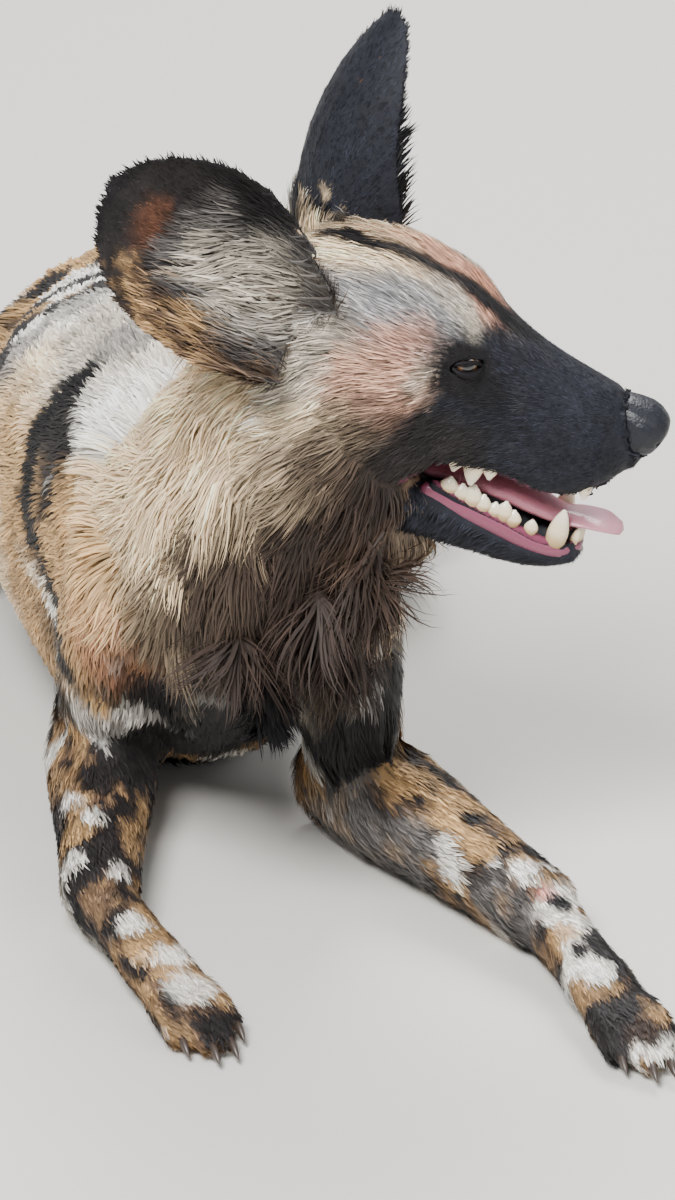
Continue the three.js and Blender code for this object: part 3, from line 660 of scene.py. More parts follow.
LIMB_COATS: dict[str, Coat] = {
    "upper_arm": BODY, "forearm": SHORT, "forepaw": PAW, "thigh": BODY, "shank": SHORT, "hind_paw": PAW,
}
COATS: dict[str, Coat] = {
    "torso": BODY, "neck": RUFF, "head": FACE, "lower_jaw": FACE,
    "ear_left": EAR, "ear_right": EAR, "tail_root": BODY, "tail_brush": BRUSH,
    **{name: coat for part, coat in LIMB_COATS.items() for name in both_sides(part)},
}
HEAD_NODES = ("head", "lower_jaw", "ear_left", "ear_right")
BRINDLED = both_sides("forearm", "forepaw")


# Ears


@dataclass(frozen=True)
class EarPlan:
    """Where an ear stands in the head's frame, as in the solids."""

    base: tuple[float, float, float]
    axis: tuple[float, float, float]
    facing: tuple[float, float, float]
    length: float = 152.0
    half_width: float = 57.0

    def axes(self) -> tuple[Array, Array, Array]:
        """Directions to the tip, out of the cup and across it.

        Returns:
            The three directions in the head's frame.
        """
        up = unit(np.array(self.axis))
        face = np.array(self.facing) - up * np.dot(self.facing, up)
        face = unit(face)
        return up, face, np.cross(up, face)

    def place(self, points: Array, normals: Array) -> tuple[Array, Array, Array]:
        """Share of the way to the tip, place across from -1 to 1, and 1 on the cup's inner side.

        Args:
            points: places in mm.
            normals: outward directions at the points.

        Returns:
            The two shares of place, and the inner side as a number from 0 to 1.
        """
        up, face, side = self.axes()
        local = FRAMES.from_row(points, Place.HEAD) - np.array(self.base)
        inner = smooth_step(-0.1, 0.25, normals @ FRAMES.aim(face, Place.HEAD))
        return local @ up / self.length, local @ side / self.half_width, inner


EARS: dict[str, EarPlan] = {
    "ear_right": EarPlan((-230, -48, 26), (-132, -26, 80), (0.1, -1, 0.22)),
    "ear_left": EarPlan((-250, 44, 40), (26, 34, 146), (0.82, 0.57, 0.1)),
}


# Markings


@dataclass(frozen=True)
class Patch:
    """A marking: an uneven ball of one colour at a named place."""

    at: tuple[float, float, float]
    reach: float | tuple[float, float, float]
    colour: Colour
    strength: float = 1.0
    edge: float = 0.35
    place: Place = Place.HEAD
    ragged: float = 0.25


def trail(
    stops: Iterable[tuple[float, float, float]], reach: float, colour: Colour, **more: object
) -> list[Patch]:
    """A stripe: patches along a path, close enough to join.

    Args:
        stops: places along the stripe.
        reach: half the width of the stripe in mm.
        colour: its colour.
        more: further values of each patch.

    Returns:
        The patches.
    """
    stops = [np.array(stop, float) for stop in stops]
    made = []
    for start, end in zip(stops, stops[1:]):
        steps = max(1, int(np.linalg.norm(end - start) / (reach * 0.55)))
        spots = [tuple(start + (end - start) * k / steps) for k in range(steps)]
        made += [Patch(spot, reach, colour, **more) for spot in spots]
    return made + [Patch(tuple(stops[-1]), reach, colour, **more)]


def both(patch: Patch) -> list[Patch]:
    """The same patch on both sides of the head."""
    x, y, z = patch.at
    return [patch, replace(patch, at=(x, -y, z))]


HEAD_PATCHES: list[Patch] = [
    # Top and sides of the head
    Patch((-208, 0, 74), (56, 50, 34), CREAM, 0.85, edge=0.6),
    Patch((-238, 0, 40), (46, 80, 60), CREAM, 0.9, edge=0.5),
    *both(Patch((-200, 56, 46), (46, 34, 34), COOL_GREY, 0.95, edge=0.6)),
    *both(Patch((-206, 70, 8), (52, 30, 52), PALE_GREY, 0.9, edge=0.6)),
    *both(Patch((-164, 46, 46), (30, 26, 22), COOL_GREY, 0.9, edge=0.6)),
    Patch((-152, 2, 64), (48, 21, 20), SALMON, 0.8, edge=0.9, ragged=0.5),
    *both(Patch((-122, 12, 50), (26, 14, 14), SALMON, 0.75, edge=0.8)),
    *both(Patch((-166, 61, 14), (26, 24, 28), SALMON, 0.65, edge=0.9, ragged=0.6)),
    *both(Patch((-206, 76, -34), (44, 26, 34), CREAM, 0.8, edge=0.6)),
    *both(Patch((-160, 64, -30), (40, 30, 30), UMBER, 0.85, edge=0.9, ragged=0.5)),
    *both(Patch((-176, 66, -56), (34, 30, 24), UMBER, 0.8, edge=0.9, ragged=0.5)),
    # Black mask from the eyes to the nose, its blue tint a painted sheen of sky light
    Patch((-46, 0, -20), (96, 76, 82), BLACK_WITH_BLUE_SHEEN, edge=0.5, ragged=0.3),
    *both(Patch((-112, 40, 4), (38, 30, 42), BLACK_WITH_BLUE_SHEEN, edge=0.7, ragged=0.4)),
    *both(Patch((-98, 25, 30), (32, 22, 24), BLACK_WITH_BLUE_SHEEN, 0.95, edge=0.7)),
    Patch((-82, 0, 34), (26, 26, 24), BLACK_WITH_BLUE_SHEEN, 0.95, edge=0.7),
    *both(Patch((-104, 40, -38), (34, 26, 30), BLACK_WITH_BLUE_SHEEN, edge=0.5)),
    *both(Patch((-130, 46, -36), (38, 26, 28), SOOT, 0.95, edge=0.6, ragged=0.4)),
    *both(Patch((-134, 39, 23), (25, 20, 15), BLACK, edge=0.5)),
    *both(Patch((-112, 38, 12), (16, 12, 14), BLACK, 0.85, edge=0.8)),
    *trail(
        [(-216, -2, 72), (-183, -10, 75), (-151, -12, 67), (-124, -9, 56), (-92, 0, 38)],
        9, BLACK, strength=0.9, edge=0.8, ragged=0.5,
    ),
]


class Markings:
    """Colours of the coat at any place on the skin."""

    WIDE_WAVE = 95
    FINE_WAVE = 42
    DARK_WAVE = 60
    FLECK_WAVE = 16
    WHITE_WAVE = 32
    EDGE_WAVE = 26
    TICKING_WAVE = 4.5

    def __init__(self, seed: int = 11) -> None:
        """Seeds the noise of the edges and of the blotches."""
        self.grain = Grain(seed)
        self.blotch = Grain(seed + 1)

    def base(self, points: Array, solids: Array) -> Array:
        """Blotches of black, tan and white, darker low on the torso towards the floor, and small flecks on
        the forelegs.

        Args:
            points: places in mm.
            solids: the name of the solid under each point.

        Returns:
            One colour for each point.
        """
        body = FRAMES.from_row(points)
        wide = self.blotch.at(points, self.WIDE_WAVE, 2)
        fine = self.blotch.at(points + 400, self.FINE_WAVE, 2)
        colour = plain(SOOT, len(points))
        colour = mix(colour, TAN, smooth_step(0.0, 0.12, wide + 0.25 * fine))
        colour = mix(colour, WHITE, smooth_step(0.22, 0.34, fine + 0.1 * wide))
        dark = self.blotch.at(points + 900, self.DARK_WAVE, 2)
        colour = mix(colour, SOOT, smooth_step(0.3, 0.42, dark))
        # The torso turns darker towards the floor
        under = smooth_step(70, 20, body[:, 2]) * (solids == "torso")
        colour = mix(colour, UMBER, 0.6 * under)
        forelegs = np.isin(solids, BRINDLED)
        colour[forelegs] = self.brindle(points[forelegs])
        return colour

    def brindle(self, points: Array) -> Array:
        """Small uneven flecks of black, brown, tan and white.

        Args:
            points: places on the forelegs in mm.

        Returns:
            One colour for each point.
        """
        fleck = self.blotch.at(points * np.array([1.0, 0.7, 1.0]) + 700, self.FLECK_WAVE, 3)
        colour = plain(SOOT, len(points))
        colour = mix(colour, BROWN, smooth_step(-0.04, 0.1, fleck))
        colour = mix(colour, TAN, smooth_step(0.14, 0.34, fleck) * 0.6)
        white = self.blotch.at(points + 1300, self.WHITE_WAVE, 3)
        return mix(colour, WHITE, smooth_step(0.34, 0.44, white) * 0.85)

    def ear(self, plan: EarPlan, points: Array, normals: Array, far: bool) -> Array:
        """Colours of an ear: dark back, black rim, pale hair in the cup and a tan lower lobe; the far ear's
        back is black with a painted blue sheen.

        Args:
            plan: where the ear stands.
            points: places in mm.
            normals: outward directions at the points.
            far: whether it is the far ear, which is darker and has a painted blue sheen on its back.

        Returns:
            One colour for each point.
        """
        t, across, inner = plan.place(points, normals)
        ragged = 0.18 * self.grain.at(points, 15, 3)
        # The far ear's back is black with a painted blue sheen, the near ear's back soot
        back = plain(BLACK_WITH_BLUE_SHEEN if far else SOOT, len(points))
        back = mix(back, CREAM if far else BROWN, smooth_step(0.14, 0.0, t + ragged))
        cup = plain(SOOT, len(points))
        bare = np.hypot((t - 0.72) / 0.12, (across + 0.1) / 0.34)
        cup = mix(cup, BARE_SKIN, smooth_step(1.2, 0.5, bare + 2 * ragged) * 0.8)
        middle = np.hypot((t - 0.27) / 0.27, (across - 0.12) / 0.56)
        cup = mix(cup, GREY, smooth_step(1.7, 1.0, middle + 1.6 * ragged) * 0.5)
        cup = mix(cup, PALE_GREY, smooth_step(1.15, 0.6, middle + 1.6 * ragged) * 0.9)
        lobe = smooth_step(-0.42, -0.7, across + ragged) * smooth_step(0.8, 0.55, t + ragged)
        lobe = lobe * (0.0 if far else 0.9)
        cup = mix(cup, BROWN, lobe)
        cup = mix(cup, TAN, lobe * smooth_step(-0.1, 0.1, self.grain.at(points + 90, 10, 2)) * 0.6)
        edge = np.abs(across) if far else across
        rim = smooth_step(0.6, 0.78, edge + ragged) * smooth_step(0.2, 0.4, t)
        rim = np.maximum(rim, smooth_step(0.86, 0.95, t + 0.4 * ragged))
        cup = mix(cup, BLACK, rim)
        return back + (cup - back) * inner[:, None]

    def paint(self, points: Array, normals: Array, solids: Array) -> Array:
        """The colour at each point of the skin.

        Args:
            points: places in the row frame, in mm.
            normals: outward directions there.
            solids: the name of the solid under each.

        Returns:
            One colour for each point.
        """
        colour = self.base(points, solids)
        flows = {place: FRAMES.from_row(points, place) for place in Place}
        head = np.isin(solids, HEAD_NODES)
        colour[head] = np.array(PALE_GREY)
        # The lower jaw is black, with a painted blue sheen in its tint
        colour[solids == "lower_jaw"] = np.array(BLACK_WITH_BLUE_SHEEN)
        neck = solids == "neck"
        colour[neck] = np.array(CREAM)
        warp = self.grain.at(points, self.EDGE_WAVE, 3)
        for patch in BODY_PATCHES + HEAD_PATCHES:
            local = flows[patch.place]
            apart = np.linalg.norm((local - np.array(patch.at)) / np.array(patch.reach), axis=1)
            share = smooth_step(1 + patch.edge / 2, 1 - patch.edge / 2, apart + patch.ragged * warp)
            if patch.place is Place.HEAD:
                share = share * (head | neck)
            else:
                share = share * ~head
            colour = mix(colour, patch.colour, share * patch.strength)
        for name, plan in EARS.items():
            here = solids == name
            colour[here] = self.ear(plan, points[here], normals[here], name == "ear_left")
        ticking = self.grain.at(points * np.array([1.0, 1.0, 0.8]), self.TICKING_WAVE, 2)
        light = np.clip(1 + 0.28 * ticking + 0.12 * self.grain.at(points + 50, 17), 0.4, 1.6)
        return np.clip(colour * light[:, None], 0.004, 0.9)


def body_patch(*args: object, **more: object) -> Patch:
    """A patch given in the body's frame."""
    return Patch(*args, place=Place.BODY, **more)


def body_trail(*args: object, **more: object) -> list[Patch]:
    """A stripe given in the body's frame."""
    return trail(*args, place=Place.BODY, **more)


def flecks(*rows: tuple[float, float, float, float, Colour, float, float]) -> list[Patch]:
    """Small marks of a leg, each as its place, reach, colour, strength and raggedness.

    Args:
        rows: the marks.

    Returns:
        The patches.
    """
    return [
        body_patch((x, y, z), reach, colour, strength, ragged=ragged)
        for x, y, z, reach, colour, strength, ragged in rows
    ]


BODY_PATCHES: list[Patch] = [
    # Back, flank and shoulder of the right side
    body_patch((-60, 180, 270), (70, 90, 60), WHITE, edge=0.5),
    body_patch((-60, 20, 296), (60, 60, 40), WHITE, edge=0.5),
    body_patch((-10, 130, 300), (90, 110, 60), PALE_GREY, 0.9, edge=0.6),
    body_patch((-96, 150, 220), (50, 60, 44), CREAM, 0.9, edge=0.6),
    body_patch((-44, 84, 310), 30, GREY, 0.8),
    body_patch((-92, 214, 236), 26, GREY, 0.8),
    body_patch((-50, 236, 262), 34, GREY, 0.7),
    body_patch((-112, 130, 150), (50, 80, 90), TAN, 0.85, edge=0.5),
    body_patch((-110, 200, 120), (50, 60, 70), CREAM, 0.8, edge=0.5),
    body_patch((-82, -20, 190), (60, 60, 70), TAN, edge=0.5),
    body_patch((-84, -66, 246), (50, 50, 52), CREAM, 0.8, edge=0.7),
    body_patch((-82, -66, 212), (40, 40, 40), TAN, 0.85, edge=0.8),
    body_patch((-74, -76, 172), (42, 36, 36), RUSSET, 0.6, edge=0.8),
    *body_trail(
        [
            (-72, 72, 277), (-84, 88, 260), (-102, 96, 226), (-108, 88, 196), (-108, 62, 168),
            (-106, 20, 150), (-104, -30, 138),
        ],
        15, BLACK, edge=0.45,
    ),
    # Left side, finished from the species
    body_patch((110, 160, 200), (60, 90, 60), TAN, 0.9, edge=0.5),
    body_patch((96, 40, 240), (40, 50, 40), BLACK, 0.9),
    body_patch((70, 260, 250), (50, 50, 40), WHITE, 0.9),
    # Neck and throat
    body_patch((-40, -110, 330), (70, 60, 90), CREAM, edge=0.5),
    body_patch((30, -172, 368), (34, 26, 22), WHITE, 0.6, edge=0.8),
    body_patch((40, -190, 268), (70, 70, 84), UMBER, edge=0.6),
    body_patch((-6, -168, 258), (50, 50, 50), UMBER, 0.95, edge=0.6, ragged=0.4),
    body_patch((-42, -122, 222), (38, 42, 44), UMBER, 0.85, edge=0.8, ragged=0.4),
    body_patch((70, -150, 215), (62, 60, 60), UMBER, edge=0.6),
    body_patch((0, -158, 196), (52, 52, 46), UMBER, edge=0.5),
    body_patch((110, -90, 280), (70, 80, 90), BROWN, 0.8, edge=0.6),
    # Chest
    body_patch((20, -90, 130), (112, 76, 72), BLACK, edge=0.5),
    body_patch((-22, -98, 146), 13, GREY, 0.8, edge=0.8, ragged=0.9),
    body_patch((4, -84, 120), 13, GREY, 0.8, edge=0.8, ragged=0.9),
    body_patch((-38, -72, 112), 12, PALE_GREY, 0.6, edge=0.8, ragged=0.9),
    body_patch((30, -80, 112), 12, PALE_GREY, 0.5, edge=0.8, ragged=0.9),
    *body_trail(
        [(44, -112, 172), (60, -108, 154), (76, -104, 142)], 9, GREY, strength=0.8, edge=0.8, ragged=0.8
    ),
    # Right foreleg
    body_patch((-92, -60, 96), (50, 50, 30), SOOT, 0.6, ragged=0.5),
    *flecks(
        (-84, -48, 112, 15, TAN, 0.8, 0.5), (-92, -84, 62, 8, WHITE, 0.9, 0.5),
        (-83, -136, 54, 9, WHITE, 0.9, 0.5), (-106, -94, 54, 12, TAN, 0.8, 0.5),
        (-104, -158, 40, 11, BROWN, 0.8, 0.5), (-82, -214, 36, 11, TAN, 0.8, 0.5),
        (-58, -246, 28, 16, WHITE, 0.8, 0.4),
    ),
    # Left foreleg: grey on its inner side, tan with black blotches above
    body_patch((92, -86, 34), (56, 62, 30), GREY, 0.6, edge=0.6, ragged=0.5),
    body_patch((143, -190, 30), (18, 50, 20), GREY, 0.5, edge=0.8, ragged=0.5),
    *flecks(
        (100, -96, 72, 17, TAN, 0.9, 0.5), (126, -124, 68, 17, TAN, 0.9, 0.5),
        (112, -104, 76, 8, BLACK, 1.0, 0.5), (136, -134, 68, 9, BLACK, 1.0, 0.5),
        (134, -160, 56, 12, TAN, 0.8, 0.5), (152, -164, 62, 8, BLACK, 1.0, 0.5),
        (160, -184, 56, 11, WHITE, 1.0, 0.4), (168, -206, 50, 7, STAIN, 0.7, 0.25),
        (176, -220, 50, 9, BLACK, 1.0, 0.5), (172, -243, 42, 11, TAN, 0.8, 0.5),
        (179, -262, 40, 8, SOOT, 1.0, 0.5), (187, -282, 36, 11, WHITE, 1.0, 0.4),
        (196, -312, 26, 13, SOOT, 1.0, 0.4), (204, -336, 22, 12, UMBER, 1.0, 0.25),
    ),
    # Tail: dark in the middle and white at its end
    body_patch((150, 650, 26), (50, 46, 40), BLACK, edge=0.3),
    body_patch((256, 610, 22), (72, 70, 50), WHITE, edge=0.3),
]


# Lie of the coat


@dataclass(frozen=True)
class Guide:
    """The way that the coat lies near a place."""

    at: tuple[float, float, float]
    towards: tuple[float, float, float]
    reach: float
    place: Place = Place.BODY


def head_guides(
    x: float, y: float, z: float, towards: tuple[float, float, float], reach: float
) -> list[Guide]:
    """The same lie on both sides of the head."""
    sideways = (towards[0], -towards[1], towards[2])
    return [Guide((x, y, z), towards, reach, Place.HEAD), Guide((x, -y, z), sideways, reach, Place.HEAD)]


GUIDES: list[Guide] = [
    Guide((0, 0, 300), (0, 1, -0.1), 90),
    Guide((0, 250, 260), (0, 1, -0.15), 130),
    Guide((60, 450, 200), (0, 1, -0.4), 90),
    *(Guide((side * 110, 60, 170), (0, 0.75, -0.65), 90) for side in (-1, 1)),
    *(Guide((side * 120, 240, 130), (0, 0.9, -0.45), 100) for side in (-1, 1)),
    *(Guide((side * 80, -60, 200), (side * 0.1, 0.25, -1), 60) for side in (-1, 1)),
    Guide((0, -130, 150), (0.05, 0.1, -1), 70),
    Guide((0, -60, 90), (0, 0.5, -0.8), 70),
    Guide((-50, -100, 330), (-0.28, 0.3, -0.9), 60),
    Guide((-20, -150, 340), (-0.3, 0.2, -0.9), 50),
    Guide((40, -180, 270), (-0.1, 0.05, -1), 60),
    Guide((80, -140, 230), (0, 0.15, -1), 60),
    Guide((110, -100, 290), (0.1, 0.45, -0.85), 60),
    Guide((10, -20, 350), (-0.1, 0.9, -0.4), 60),
    Guide((-80, 40, 60), (-0.05, -0.9, -0.3), 50),
    Guide((-90, -60, 50), (-0.08, -1, -0.1), 60),
    Guide((-90, -130, 40), (0.15, -1, -0.2), 50),
    Guide((-60, -240, 30), (0.3, -0.95, -0.2), 60),
    Guide((80, -30, 60), (0.4, -0.8, -0.3), 50),
    Guide((125, -120, 50), (0.48, -0.87, -0.1), 60),
    Guide((172, -200, 40), (0.35, -0.94, -0.2), 50),
    Guide((195, -310, 25), (0.23, -0.97, -0.2), 60),
    *(Guide((side * 130 + 20, 380, 110), (side * 0.1, 0.3, -0.95), 80) for side in (-1, 1)),
    *(Guide((side * 140 + 20, 320, 60), (0, -0.3, -0.95), 60) for side in (-1, 1)),
    *(Guide((side * 150 + 20, 350, 25), (0, -1, -0.2), 60) for side in (-1, 1)),
    Guide((66, 570, 90), (0.1, 0.8, -0.6), 50),
    Guide((110, 655, 30), (0.8, 0.5, -0.1), 45),
    Guide((180, 672, 25), (1, 0, 0), 45),
    Guide((250, 645, 20), (0.85, -0.5, -0.05), 50),
    Guide((-20, 0, 0), (-0.9, 0, 0.35), 22, Place.HEAD),
    *head_guides(-40, 25, -25, (-0.85, 0.1, -0.35), 24),
    *head_guides(-70, 28, -10, (-1, 0.15, -0.05), 26),
    Guide((-70, 0, 25), (-1, 0, 0.3), 26, Place.HEAD),
    Guide((-110, 0, 48), (-1, 0, 0.5), 24, Place.HEAD),
    Guide((-150, 0, 70), (-1, 0, 0.2), 26, Place.HEAD),
    Guide((-200, 0, 74), (-1, 0, -0.1), 34, Place.HEAD),
    *head_guides(-108, 34, 20, (-0.9, 0.3, 0.1), 18),
    *head_guides(-130, 34, 48, (-0.85, 0.3, 0.4), 16),
    *head_guides(-148, 46, 24, (-1, 0.25, 0.0), 18),
    *head_guides(-130, 40, 8, (-0.9, 0.2, -0.3), 18),
    *head_guides(-110, 34, -30, (-0.9, 0.2, -0.2), 22),
    *head_guides(-160, 60, 0, (-0.95, 0.2, -0.3), 26),
    *head_guides(-170, 56, 40, (-1, 0.1, 0.15), 26),
    *head_guides(-196, 66, -10, (-0.85, 0.2, -0.55), 30),
    *head_guides(-170, 60, -50, (-0.8, 0.1, -0.7), 30),
    *head_guides(-220, 66, -40, (-0.9, 0.1, -0.6), 34),
    *head_guides(-80, 20, -105, (-1, 0.0, -0.25), 30),
    *head_guides(-130, 30, -100, (-0.9, 0.0, -0.5), 34),
    Guide((-260, -60, 20), (-0.9, -0.1, -0.3), 22, Place.HEAD),
    Guide((-280, -62, 60), (-0.95, -0.1, 0.1), 30, Place.HEAD),
    Guide((-340, -70, 90), (-0.85, -0.1, 0.5), 36, Place.HEAD),
    Guide((-300, -60, 20), (-0.8, -0.1, -0.5), 26, Place.HEAD),
    Guide((-226, 50, 90), (0, 0.1, 1), 36, Place.HEAD),
    Guide((-224, 76, 160), (0, 0.2, 1), 44, Place.HEAD),
]


class Lie:
    """Directions of the coat over the skin."""

    def __init__(self, seed: int = 23) -> None:
        """Places the guides in the row frame."""
        self.grain = [Grain(seed + k) for k in range(3)]
        self.places = np.array([FRAMES.to_row(guide.at, guide.place) for guide in GUIDES])
        self.ways = unit(np.array([FRAMES.aim(guide.towards, guide.place) for guide in GUIDES]))
        self.reach = np.array([guide.reach for guide in GUIDES])

    def at(self, points: Array, normals: Array, unruly: Array, solids: Array) -> Array:
        """Unit directions in the skin, turned a little by noise.

        Args:
            points: places in mm.
            normals: outward directions at the points.
            unruly: how far noise turns each direction.
            solids: the name of the solid under each point.

        Returns:
            Unit directions along the skin.
        """
        total = np.zeros_like(points)
        for place, way, reach in zip(self.places, self.ways, self.reach):
            apart = np.sum((points - place) ** 2, axis=1) / reach**2
            total += np.exp(-np.minimum(apart, 40.0))[:, None] * way + 1e-9 * way
        total = unit(total)
        for name, plan in EARS.items():
            here = solids == name
            up, _, side = (FRAMES.aim(axis, Place.HEAD) for axis in plan.axes())
            t, across, inner = plan.place(points[here], normals[here])
            swept_back = inner * smooth_step(-0.5, 0.2, across) * smooth_step(0.75, 0.45, t)
            total[here] = unit(up + side * (0.55 * across - 1.2 * swept_back)[:, None])
        turn = np.stack([grain.at(points, 24, 2) for grain in self.grain], axis=1)
        total = total + turn * unruly[:, None]
        total -= normals * np.sum(total * normals, axis=1)[:, None]
        return unit(total)


# Skin


class Skin:
    """One skin over all of the flesh solids, with its coat's measures at each point.

    The head is wrapped finely and the body coarsely. The head's skin runs on over the neck and lies on the
    body's there, and the body's skin dips under the head's.
    """

    HEAD_VOXEL = 1.6
    BODY_VOXEL = 4.0
    OVERLAP = 26.0
    BLEND = 45.0
    QUICK_SCALE = 1.6
    FLOOR_GAP = 0.4
    BODY_DIP = 5.0
    HEAD_DIP = 3.0
    NOSE_DIP = 1.4
    BODY_INSET = 0.4
    HIDDEN_SHARE = 0.35
    SHADE = 0.85
    BODY_ROUNDS, HEAD_ROUNDS, LOCK_ROUNDS, NECK_ROUNDS, JOINT_ROUNDS = 6, 4, 50, 40, 12
    CHEST_SHORTER = 24
    EYE_SHORTER, EYE_FLATTER = 3.2, 0.06
    MUZZLE_SHORTER, MUZZLE_THINNER, MUZZLE_DENSER = 2.8, 0.2, 10
    EAR_LENGTH, EAR_LONGER = 5.5, 19
    EAR_WIDTH, EAR_WIDER = 0.8, 0.4
    EAR_THINNED = 12

    def __init__(self, markings: Markings) -> None:
        """Wraps, smooths, insets and paints the skin."""
        coarse = 1.0
        self.corners, self.corner_faces, self.corner_names = self._solids()
        self.whole_tree = BVHTree.FromPolygons(self.corners, self.corner_faces)
        head_faces = [f for f, name in zip(self.corner_faces, self.corner_names) if name in HEAD_NODES]
        self.head_tree = BVHTree.FromPolygons(self.corners, head_faces)
        body_nodes = [name for name in COATS if not name.startswith("ear")]
        body = even_copy(body_nodes, self.BODY_VOXEL * coarse)
        self._even_body(body)
        head = even_copy([*HEAD_NODES, "neck"], self.HEAD_VOXEL * coarse)
        self._even_head(head, body)
        head = self._kept(head, lambda solids, near: np.isin(solids, HEAD_NODES) | (near < self.OVERLAP))
        body = self._kept(body, lambda solids, near: ~np.isin(solids, HEAD_NODES) | (near < -1))
        self.surface = Surface(
            np.concatenate([head.points, body.points]),
            np.concatenate([head.faces, body.faces + len(head.points)]),
        )
        self.solids, self.near_head = self._under(self.surface.points)
        self.smoother = Smoother(self.surface)
        from_body = np.arange(len(self.surface.points)) >= len(head.points)
        self._measure()
        self._inset(from_body)
        self.normals = self.surface.normals()
        self.colours = markings.paint(self.surface.points, self.normals, self.solids)
        self._finish_mouth()
        self._finish_ears()

    def _solids(self) -> tuple[list[Vector], list[list[int]], list[str]]:
        """Corners and faces of all the flesh solids, with the solid's name for each face.

        Returns:
            Corners, faces and a name for each face.
        """
        names, corners, faces = [], [], []
        for name in COATS:
            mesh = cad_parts[name].data
            start = len(corners)
            corners += [vertex.co / MM for vertex in mesh.vertices]
            for polygon in mesh.polygons:
                faces.append([start + index for index in polygon.vertices])
                names.append(name)
        return corners, faces, names

    def _under(self, points: Array) -> tuple[Array, Array]:
        """The name of the nearest solid to each point, and how far the head is from it.

        Args:
            points: places in mm.

        Returns:
            The names and the distances in mm.
        """
        found = [self.whole_tree.find_nearest(Vector(point))[2] for point in points]
        near = [self.head_tree.find_nearest(Vector(point))[3] for point in points]
        return np.array(self.corner_names)[found], np.array(near)

    def _even_body(self, body: Surface) -> None:
        """Smooths the body: a little on short coat and much where the solids hold locks.

        Args:
            body: the body's surface, which is changed.
        """
        solids, _ = self._under(body.points)
        smoother = Smoother(body)
        body.points = smoother.relax(body.points, self.BODY_ROUNDS)
        locks = smoother.spread(np.isin(solids, ("neck", "tail_brush")).astype(float), 4)
        body.points = smoother.spread(body.points, self.LOCK_ROUNDS, 0.5 * locks)
        joints = smoother.spread(self._changes(body, solids), 3)
        body.points = smoother.spread(body.points, self.JOINT_ROUNDS, np.clip(joints, 0, 0.5))

    def _even_head(self, head: Surface, body: Surface) -> None:
        """Smooths the head and lays its run-on over the neck upon the body's skin.

        Args:
            head: the head's surface, which is changed.
            body: the body's surface.
        """
        solids, near = self._under(head.points)
        smoother = Smoother(head)
        head.points = smoother.relax(head.points, self.HEAD_ROUNDS)
        neck = (solids == "neck") * smooth_step(0, 12, near)
        head.points = smoother.spread(head.points, self.NECK_ROUNDS, 0.5 * neck)
        tree = BVHTree.FromPolygons([Vector(point) for point in body.points], body.faces.tolist())
        for index in np.flatnonzero((neck > 0) & (near < self.OVERLAP + 6)):
            target = np.array(tree.find_nearest(Vector(head.points[index]))[0])
            head.points[index] += (target - head.points[index]) * neck[index]

    @staticmethod
    def _changes(surface: Surface, solids: Array) -> Array:
        """1 at the points next to another solid.

        Args:
            surface: the surface.
            solids: the name of the solid under each point.

        Returns:
            One number for each point.
        """
        pairs = surface.edges()
        differ = solids[pairs[:, 0]] != solids[pairs[:, 1]]
        value = np.zeros(len(solids))
        value[pairs[differ].ravel()] = 1.0
        return value

    def _kept(self, surface: Surface, keep: Callable[[Array, Array], Array]) -> Surface:
        """The part of a surface whose points are wished for.

        Args:
            surface: the surface.
            keep: picks points from their solids and their distance to the head.

        Returns:
            The kept part as a surface.
        """
        solids, near = self._under(surface.points)
        wanted = keep(solids, near)
        faces = surface.faces[wanted[surface.faces].any(axis=1)]
        used = np.unique(faces)
        index = np.full(len(wanted), -1)
        index[used] = np.arange(len(used))
        return Surface(surface.points[used], index[faces])

    def _measure(self) -> None:
        """Coat measures of each point, evened out where two solids meet."""
        keys = [part.name for part in fields(Coat)]
        table = {key: np.zeros(len(self.solids)) for key in keys}
        for name, coat in COATS.items():
            here = self.solids == name
            for key, values in table.items():
                values[here] = getattr(coat, key)
        face = np.isin(self.solids, ("head", "lower_jaw"))
        neck = self.solids == "neck"
        head = FRAMES.from_row(self.surface.points, Place.HEAD)
        back = smooth_step(-125, -220, head[:, 0]) * face
        muzzle = smooth_step(-110, -60, head[:, 0]) * face
        away = smooth_step(0, self.BLEND, self.near_head)
        for key, values in table.items():
            nape = getattr(NAPE, key)
            values[neck] = nape + (values[neck] - nape) * away[neck]
            values[face] += (nape - values[face]) * back[face]
        body = FRAMES.from_row(self.surface.points)
        table["length"] -= self.CHEST_SHORTER * smooth_step(210, 150, body[:, 2]) * neck
        side = head * np.array([1.0, np.sign(EYE_CENTRE[1]), 1.0])
        side[:, 1] = np.abs(side[:, 1])
        eye = smooth_step(26, 15, np.linalg.norm(side - np.array(EYE_CENTRE), axis=1)) * face
        table["length"] -= self.EYE_SHORTER * eye
        table["lift"] -= self.EYE_FLATTER * eye
        table["length"] -= self.MUZZLE_SHORTER * muzzle
        table["width"] -= self.MUZZLE_THINNER * muzzle
        table["density"] += self.MUZZLE_DENSER * muzzle
        inset = table.pop("inset")
        self.measures = {key: self.smoother.spread(values, 6) for key, values in table.items()}
        self.measures["inset"] = self.smoother.spread(inset, 4)

